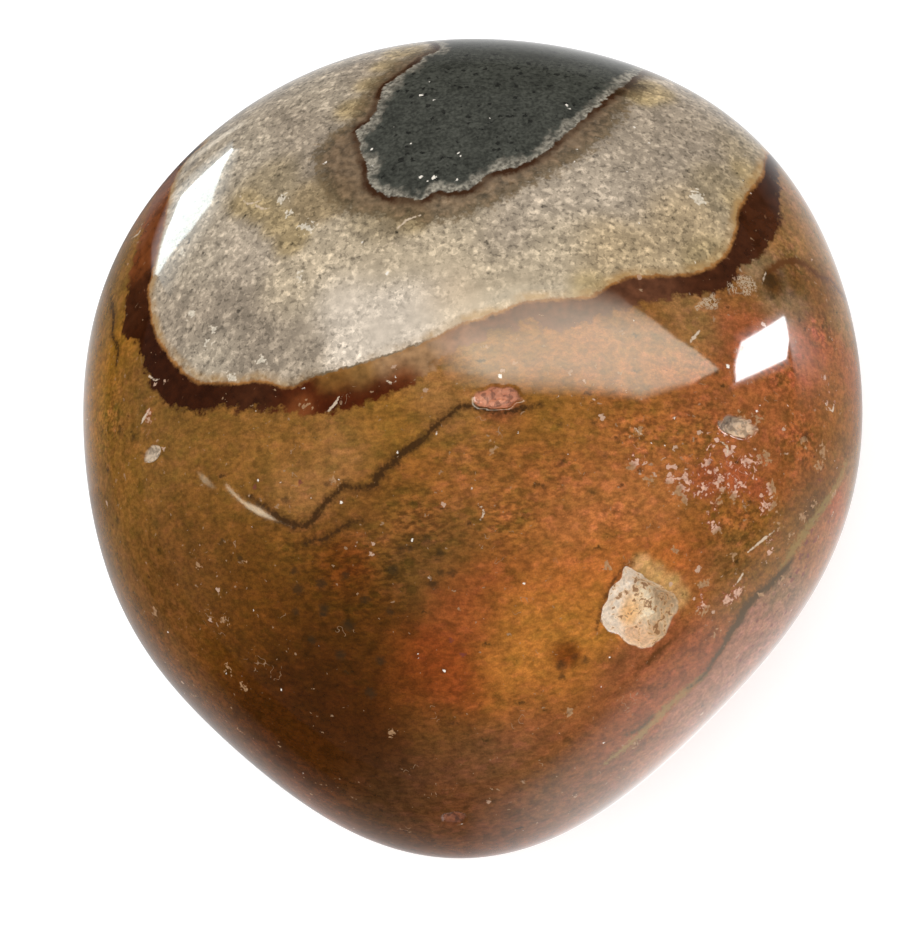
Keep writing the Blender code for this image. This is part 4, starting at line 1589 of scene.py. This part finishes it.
WALL_ROWS = [
    [(400, 320), (460, 290), (520, 280), (575, 282), (612, 290)],
    [(415, 340), (465, 312), (520, 300), (580, 298), (630, 303)],
    [(436, 356), (470, 347), (540, 338), (610, 330), (674, 338)],
    [(440, 371), (484, 367), (555, 362), (630, 361), (717, 371)],
    [(448, 384), (500, 382), (560, 384), (640, 388), (700, 380)],
    [(452, 395), (500, 396), (560, 398), (640, 402), (690, 386)],
]
WALL_GLOW = [
    [0.0, 0.0, 0.0, 0.0, 0.0],
    [0.0, 0.40, 0.56, 0.46, 0.25],
    [0.1, 1.0, 1.0, 1.05, 0.95],
    [0.1, 1.0, 1.05, 1.05, 0.85],
    [0.0, 0.45, 0.65, 0.90, 0.75],
    [0.0, 0.0, 0.0, 0.0, 0.0],
]

# Each lamp: its rows of places, how strongly each place glows, its colour, strength and reach
LAMPS = {
    "window_left": (WINDOW_LEFT, None, (0.85, 0.98, 1.0), 8.0, LAMP_NEAR),
    "haze_left": (
        HAZE_LEFT, [0.0] * 7 + [1.0] * 14 + [0.0] * 7, (0.85, 0.95, 1.0), 1.8, LAMP_NEAR + LAMP_GAP,
    ),
    "line_left": (LINE_LEFT, [0.0, 0.6, 1.0, 0.8, 0.5, 0.0] * 2, (1.0, 0.93, 0.80), 1.5, LAMP_CLOSE),
    "window_right": (WINDOW_RIGHT, None, (0.95, 0.97, 1.0), 26.0, LAMP_REACH),
    "haze_right": (
        HAZE_RIGHT, [0.0] * 2 + [1.0] * 4 + [0.0] * 2, (0.95, 0.88, 1.0), 1.8, LAMP_REACH + LAMP_GAP,
    ),
    "lamp_edge": (EDGE_LIGHT, [0.5, 0.8, 1.0, 1.0, 0.9] * 2, (1.0, 0.88, 0.65), 10.0, LAMP_REACH),
    "lamp_edge_faint": (FAINT_EDGE_LIGHT, [0.2, 1.0, 0.3] * 2, (1.0, 0.88, 0.65), 4.0, LAMP_REACH),
    "pale_wall": (WALL_ROWS, sum(WALL_GLOW, []), (1.0, 0.93, 0.76), 7.0, LAMP_REACH),
}


def mirrored(x, y, reach):
    """The point that the polish shows at a place in the picture, at a given reach."""
    place, normal = land_on_stone(x, y)
    line = sight_line(x, y)
    bounced = line - 2.0 * (line @ normal) * normal
    return place + reach * bounced


def glowing(name, colour, strength):
    """A lamp's cloth: it only glows, as strongly as the number called glow says at each point."""
    material = bpy.data.materials.new(name)
    material.use_nodes = True
    tree = material.node_tree
    shader = tree.nodes["Principled BSDF"]
    shader.inputs["Base Color"].default_value = (0.0, 0.0, 0.0, 1.0)
    shader.inputs["Emission Color"].default_value = (*colour, 1.0)
    glow = tree.nodes.new("ShaderNodeAttribute")
    glow.attribute_name = "glow"
    full = tree.nodes.new("ShaderNodeMath")
    full.operation = "MULTIPLY"
    full.inputs[1].default_value = strength
    tree.links.new(glow.outputs["Fac"], full.inputs[0])
    tree.links.new(full.outputs["Value"], shader.inputs["Emission Strength"])
    material.cycles.emission_sampling = "NONE"
    return material


def hang_card(name, corners, faces, glow, colour, strength):
    """A card that only the polish shows, with its corners in millimetres."""
    mesh = bpy.data.meshes.new(name)
    mesh.from_pydata([Vector(corner) * MM for corner in corners], [], faces)
    mesh.attributes.new("glow", "FLOAT", "POINT").data.foreach_set("value", glow)
    card = bpy.data.objects.new(name, mesh)
    bpy.context.scene.collection.objects.link(card)
    mesh.materials.append(glowing(name, colour, strength))
    card.visible_camera = False
    card.visible_diffuse = False
    card.visible_shadow = False
    return card


def net_faces(rows, columns):
    """The squares of a net with so many points down and across."""
    corners = [row * columns + column for row in range(rows - 1) for column in range(columns - 1)]
    return [(corner, corner + 1, corner + columns + 1, corner + columns) for corner in corners]


def hang_net(name, rows, glow, colour, strength, reach):
    """A card whose rows of points are given by where the stone shows them."""
    corners = [mirrored(x, y, reach) for row in rows for x, y in row]
    glow = glow or [1.0] * len(corners)
    hang_card(name, corners, net_faces(len(rows), len(rows[0])), glow, colour, strength)


for name, lamp in LAMPS.items():
    hang_net(name, *lamp)
print("lamps hung:", ", ".join(LAMPS))

# %% [markdown]
# A white sheet lies under the stone. Towards the rim the polish is seen at a glance, where even glass
# turns into a mirror, so the sheet shows there as a pale band that fades inwards. Below and to the right
# the band is broad, and elsewhere it is thin. The sheet is a round net whose rings and bearings each
# have their own glow.

# %% Lay the white sheet for the rim
SHEET_REACH = [28.0, 45.0, 70.0, 110.0, 180.0, 300.0, 520.0, 900.0, 1600.0]
WIDE_GLOW = [1.0, 1.15, 1.10, 0.76, 0.32, 0.08, 0.02, 0.0, 0.0]
THIN_GLOW = [1.0, 0.7, 0.2, 0.0, 0.0, 0.0, 0.0, 0.0, 0.0]
WIDE_TURNS = [-180.0, -95.0, -72.0, -60.0, -30.0, -15.0, 0.0, 180.0]
WIDE_SHARES = [0.0, 0.0, 1.1, 1.1, 0.62, 0.5, 0.0, 0.0]
THIN_TURNS = [-180.0, -100.0, -15.0, 0.0, 15.0, 30.0, 60.0, 78.0, 95.0, 120.0, 135.0, 148.0, 161.0, 180.0]
THIN_SHARES = [0.5, 0.5, 0.5, 0.6, 0.5, 1.0, 0.7, 1.0, 0.75, 0.75, 0.1, 0.25, 0.8, 0.6]
SHEET_SIDES = 72
SHEET_GLOW = 1.4
SHEET_HEIGHT = 0.3
WHITE = (1.0, 1.0, 1.0)

sheet_points, sheet_glow = [], []
for reach, wide, thin in zip(SHEET_REACH, WIDE_GLOW, THIN_GLOW):
    for side in range(SHEET_SIDES + 1):
        turn = -180.0 + 360.0 * side / SHEET_SIDES
        wide_share = float(np.interp(turn, WIDE_TURNS, WIDE_SHARES))
        thin_share = float(np.interp(turn, THIN_TURNS, THIN_SHARES)) * (1.0 - wide_share)
        bearing = math.radians(turn)
        sheet_points.append((reach * math.cos(bearing), reach * math.sin(bearing), SHEET_HEIGHT))
        sheet_glow.append(wide_share * wide + thin_share * thin)
sheet_faces = net_faces(len(SHEET_REACH), SHEET_SIDES + 1)
hang_card("white_sheet", sheet_points, sheet_faces, sheet_glow, WHITE, SHEET_GLOW)
print("points of the sheet:", len(sheet_points))

# %% [markdown]
# The floor is plain pale paper, which the polish doesn't show. The sky gives soft even light, and the
# mirror sees a dark room instead.

# %% Floor and sky
FLOOR_SIZE = 4.0
PAPER = {
    "Base Color": (0.96, 0.96, 0.96, 1.0),
    "Roughness": 0.9,
    "Emission Color": (*WHITE, 1.0),
    "Emission Strength": 0.4,
}
SKY_COLOUR = (0.985, 0.99, 1.0, 1.0)
SKY_STRENGTH = 1.08
ROOM_COLOUR = (0.05, 0.05, 0.052, 1.0)

bpy.ops.object.select_all(action="DESELECT")
bpy.ops.mesh.primitive_plane_add(size=FLOOR_SIZE, location=(0.0, 0.0, 0.0))
floor = bpy.context.object
floor.name = "floor"
paper = bpy.data.materials.new("pale_paper")
paper.use_nodes = True
for socket, value in PAPER.items():
    paper.node_tree.nodes["Principled BSDF"].inputs[socket].default_value = value
floor.data.materials.append(paper)
floor.visible_glossy = False

world = bpy.data.worlds.new("sky")
bpy.context.scene.world = world
world.use_nodes = True
nodes, links = world.node_tree.nodes, world.node_tree.links
sky = nodes["Background"]
sky.inputs["Color"].default_value = SKY_COLOUR
sky.inputs["Strength"].default_value = SKY_STRENGTH
dark_room = nodes.new("ShaderNodeBackground")
dark_room.inputs["Color"].default_value = ROOM_COLOUR
path = nodes.new("ShaderNodeLightPath")
either = nodes.new("ShaderNodeMixShader")
links.new(path.outputs["Is Glossy Ray"], either.inputs["Fac"])
links.new(sky.outputs["Background"], either.inputs[1])
links.new(dark_room.outputs["Background"], either.inputs[2])
links.new(either.outputs["Shader"], nodes["World Output"].inputs["Surface"])
bpy.context.scene.view_settings.view_transform = "Standard"
print("sky strength", SKY_STRENGTH)
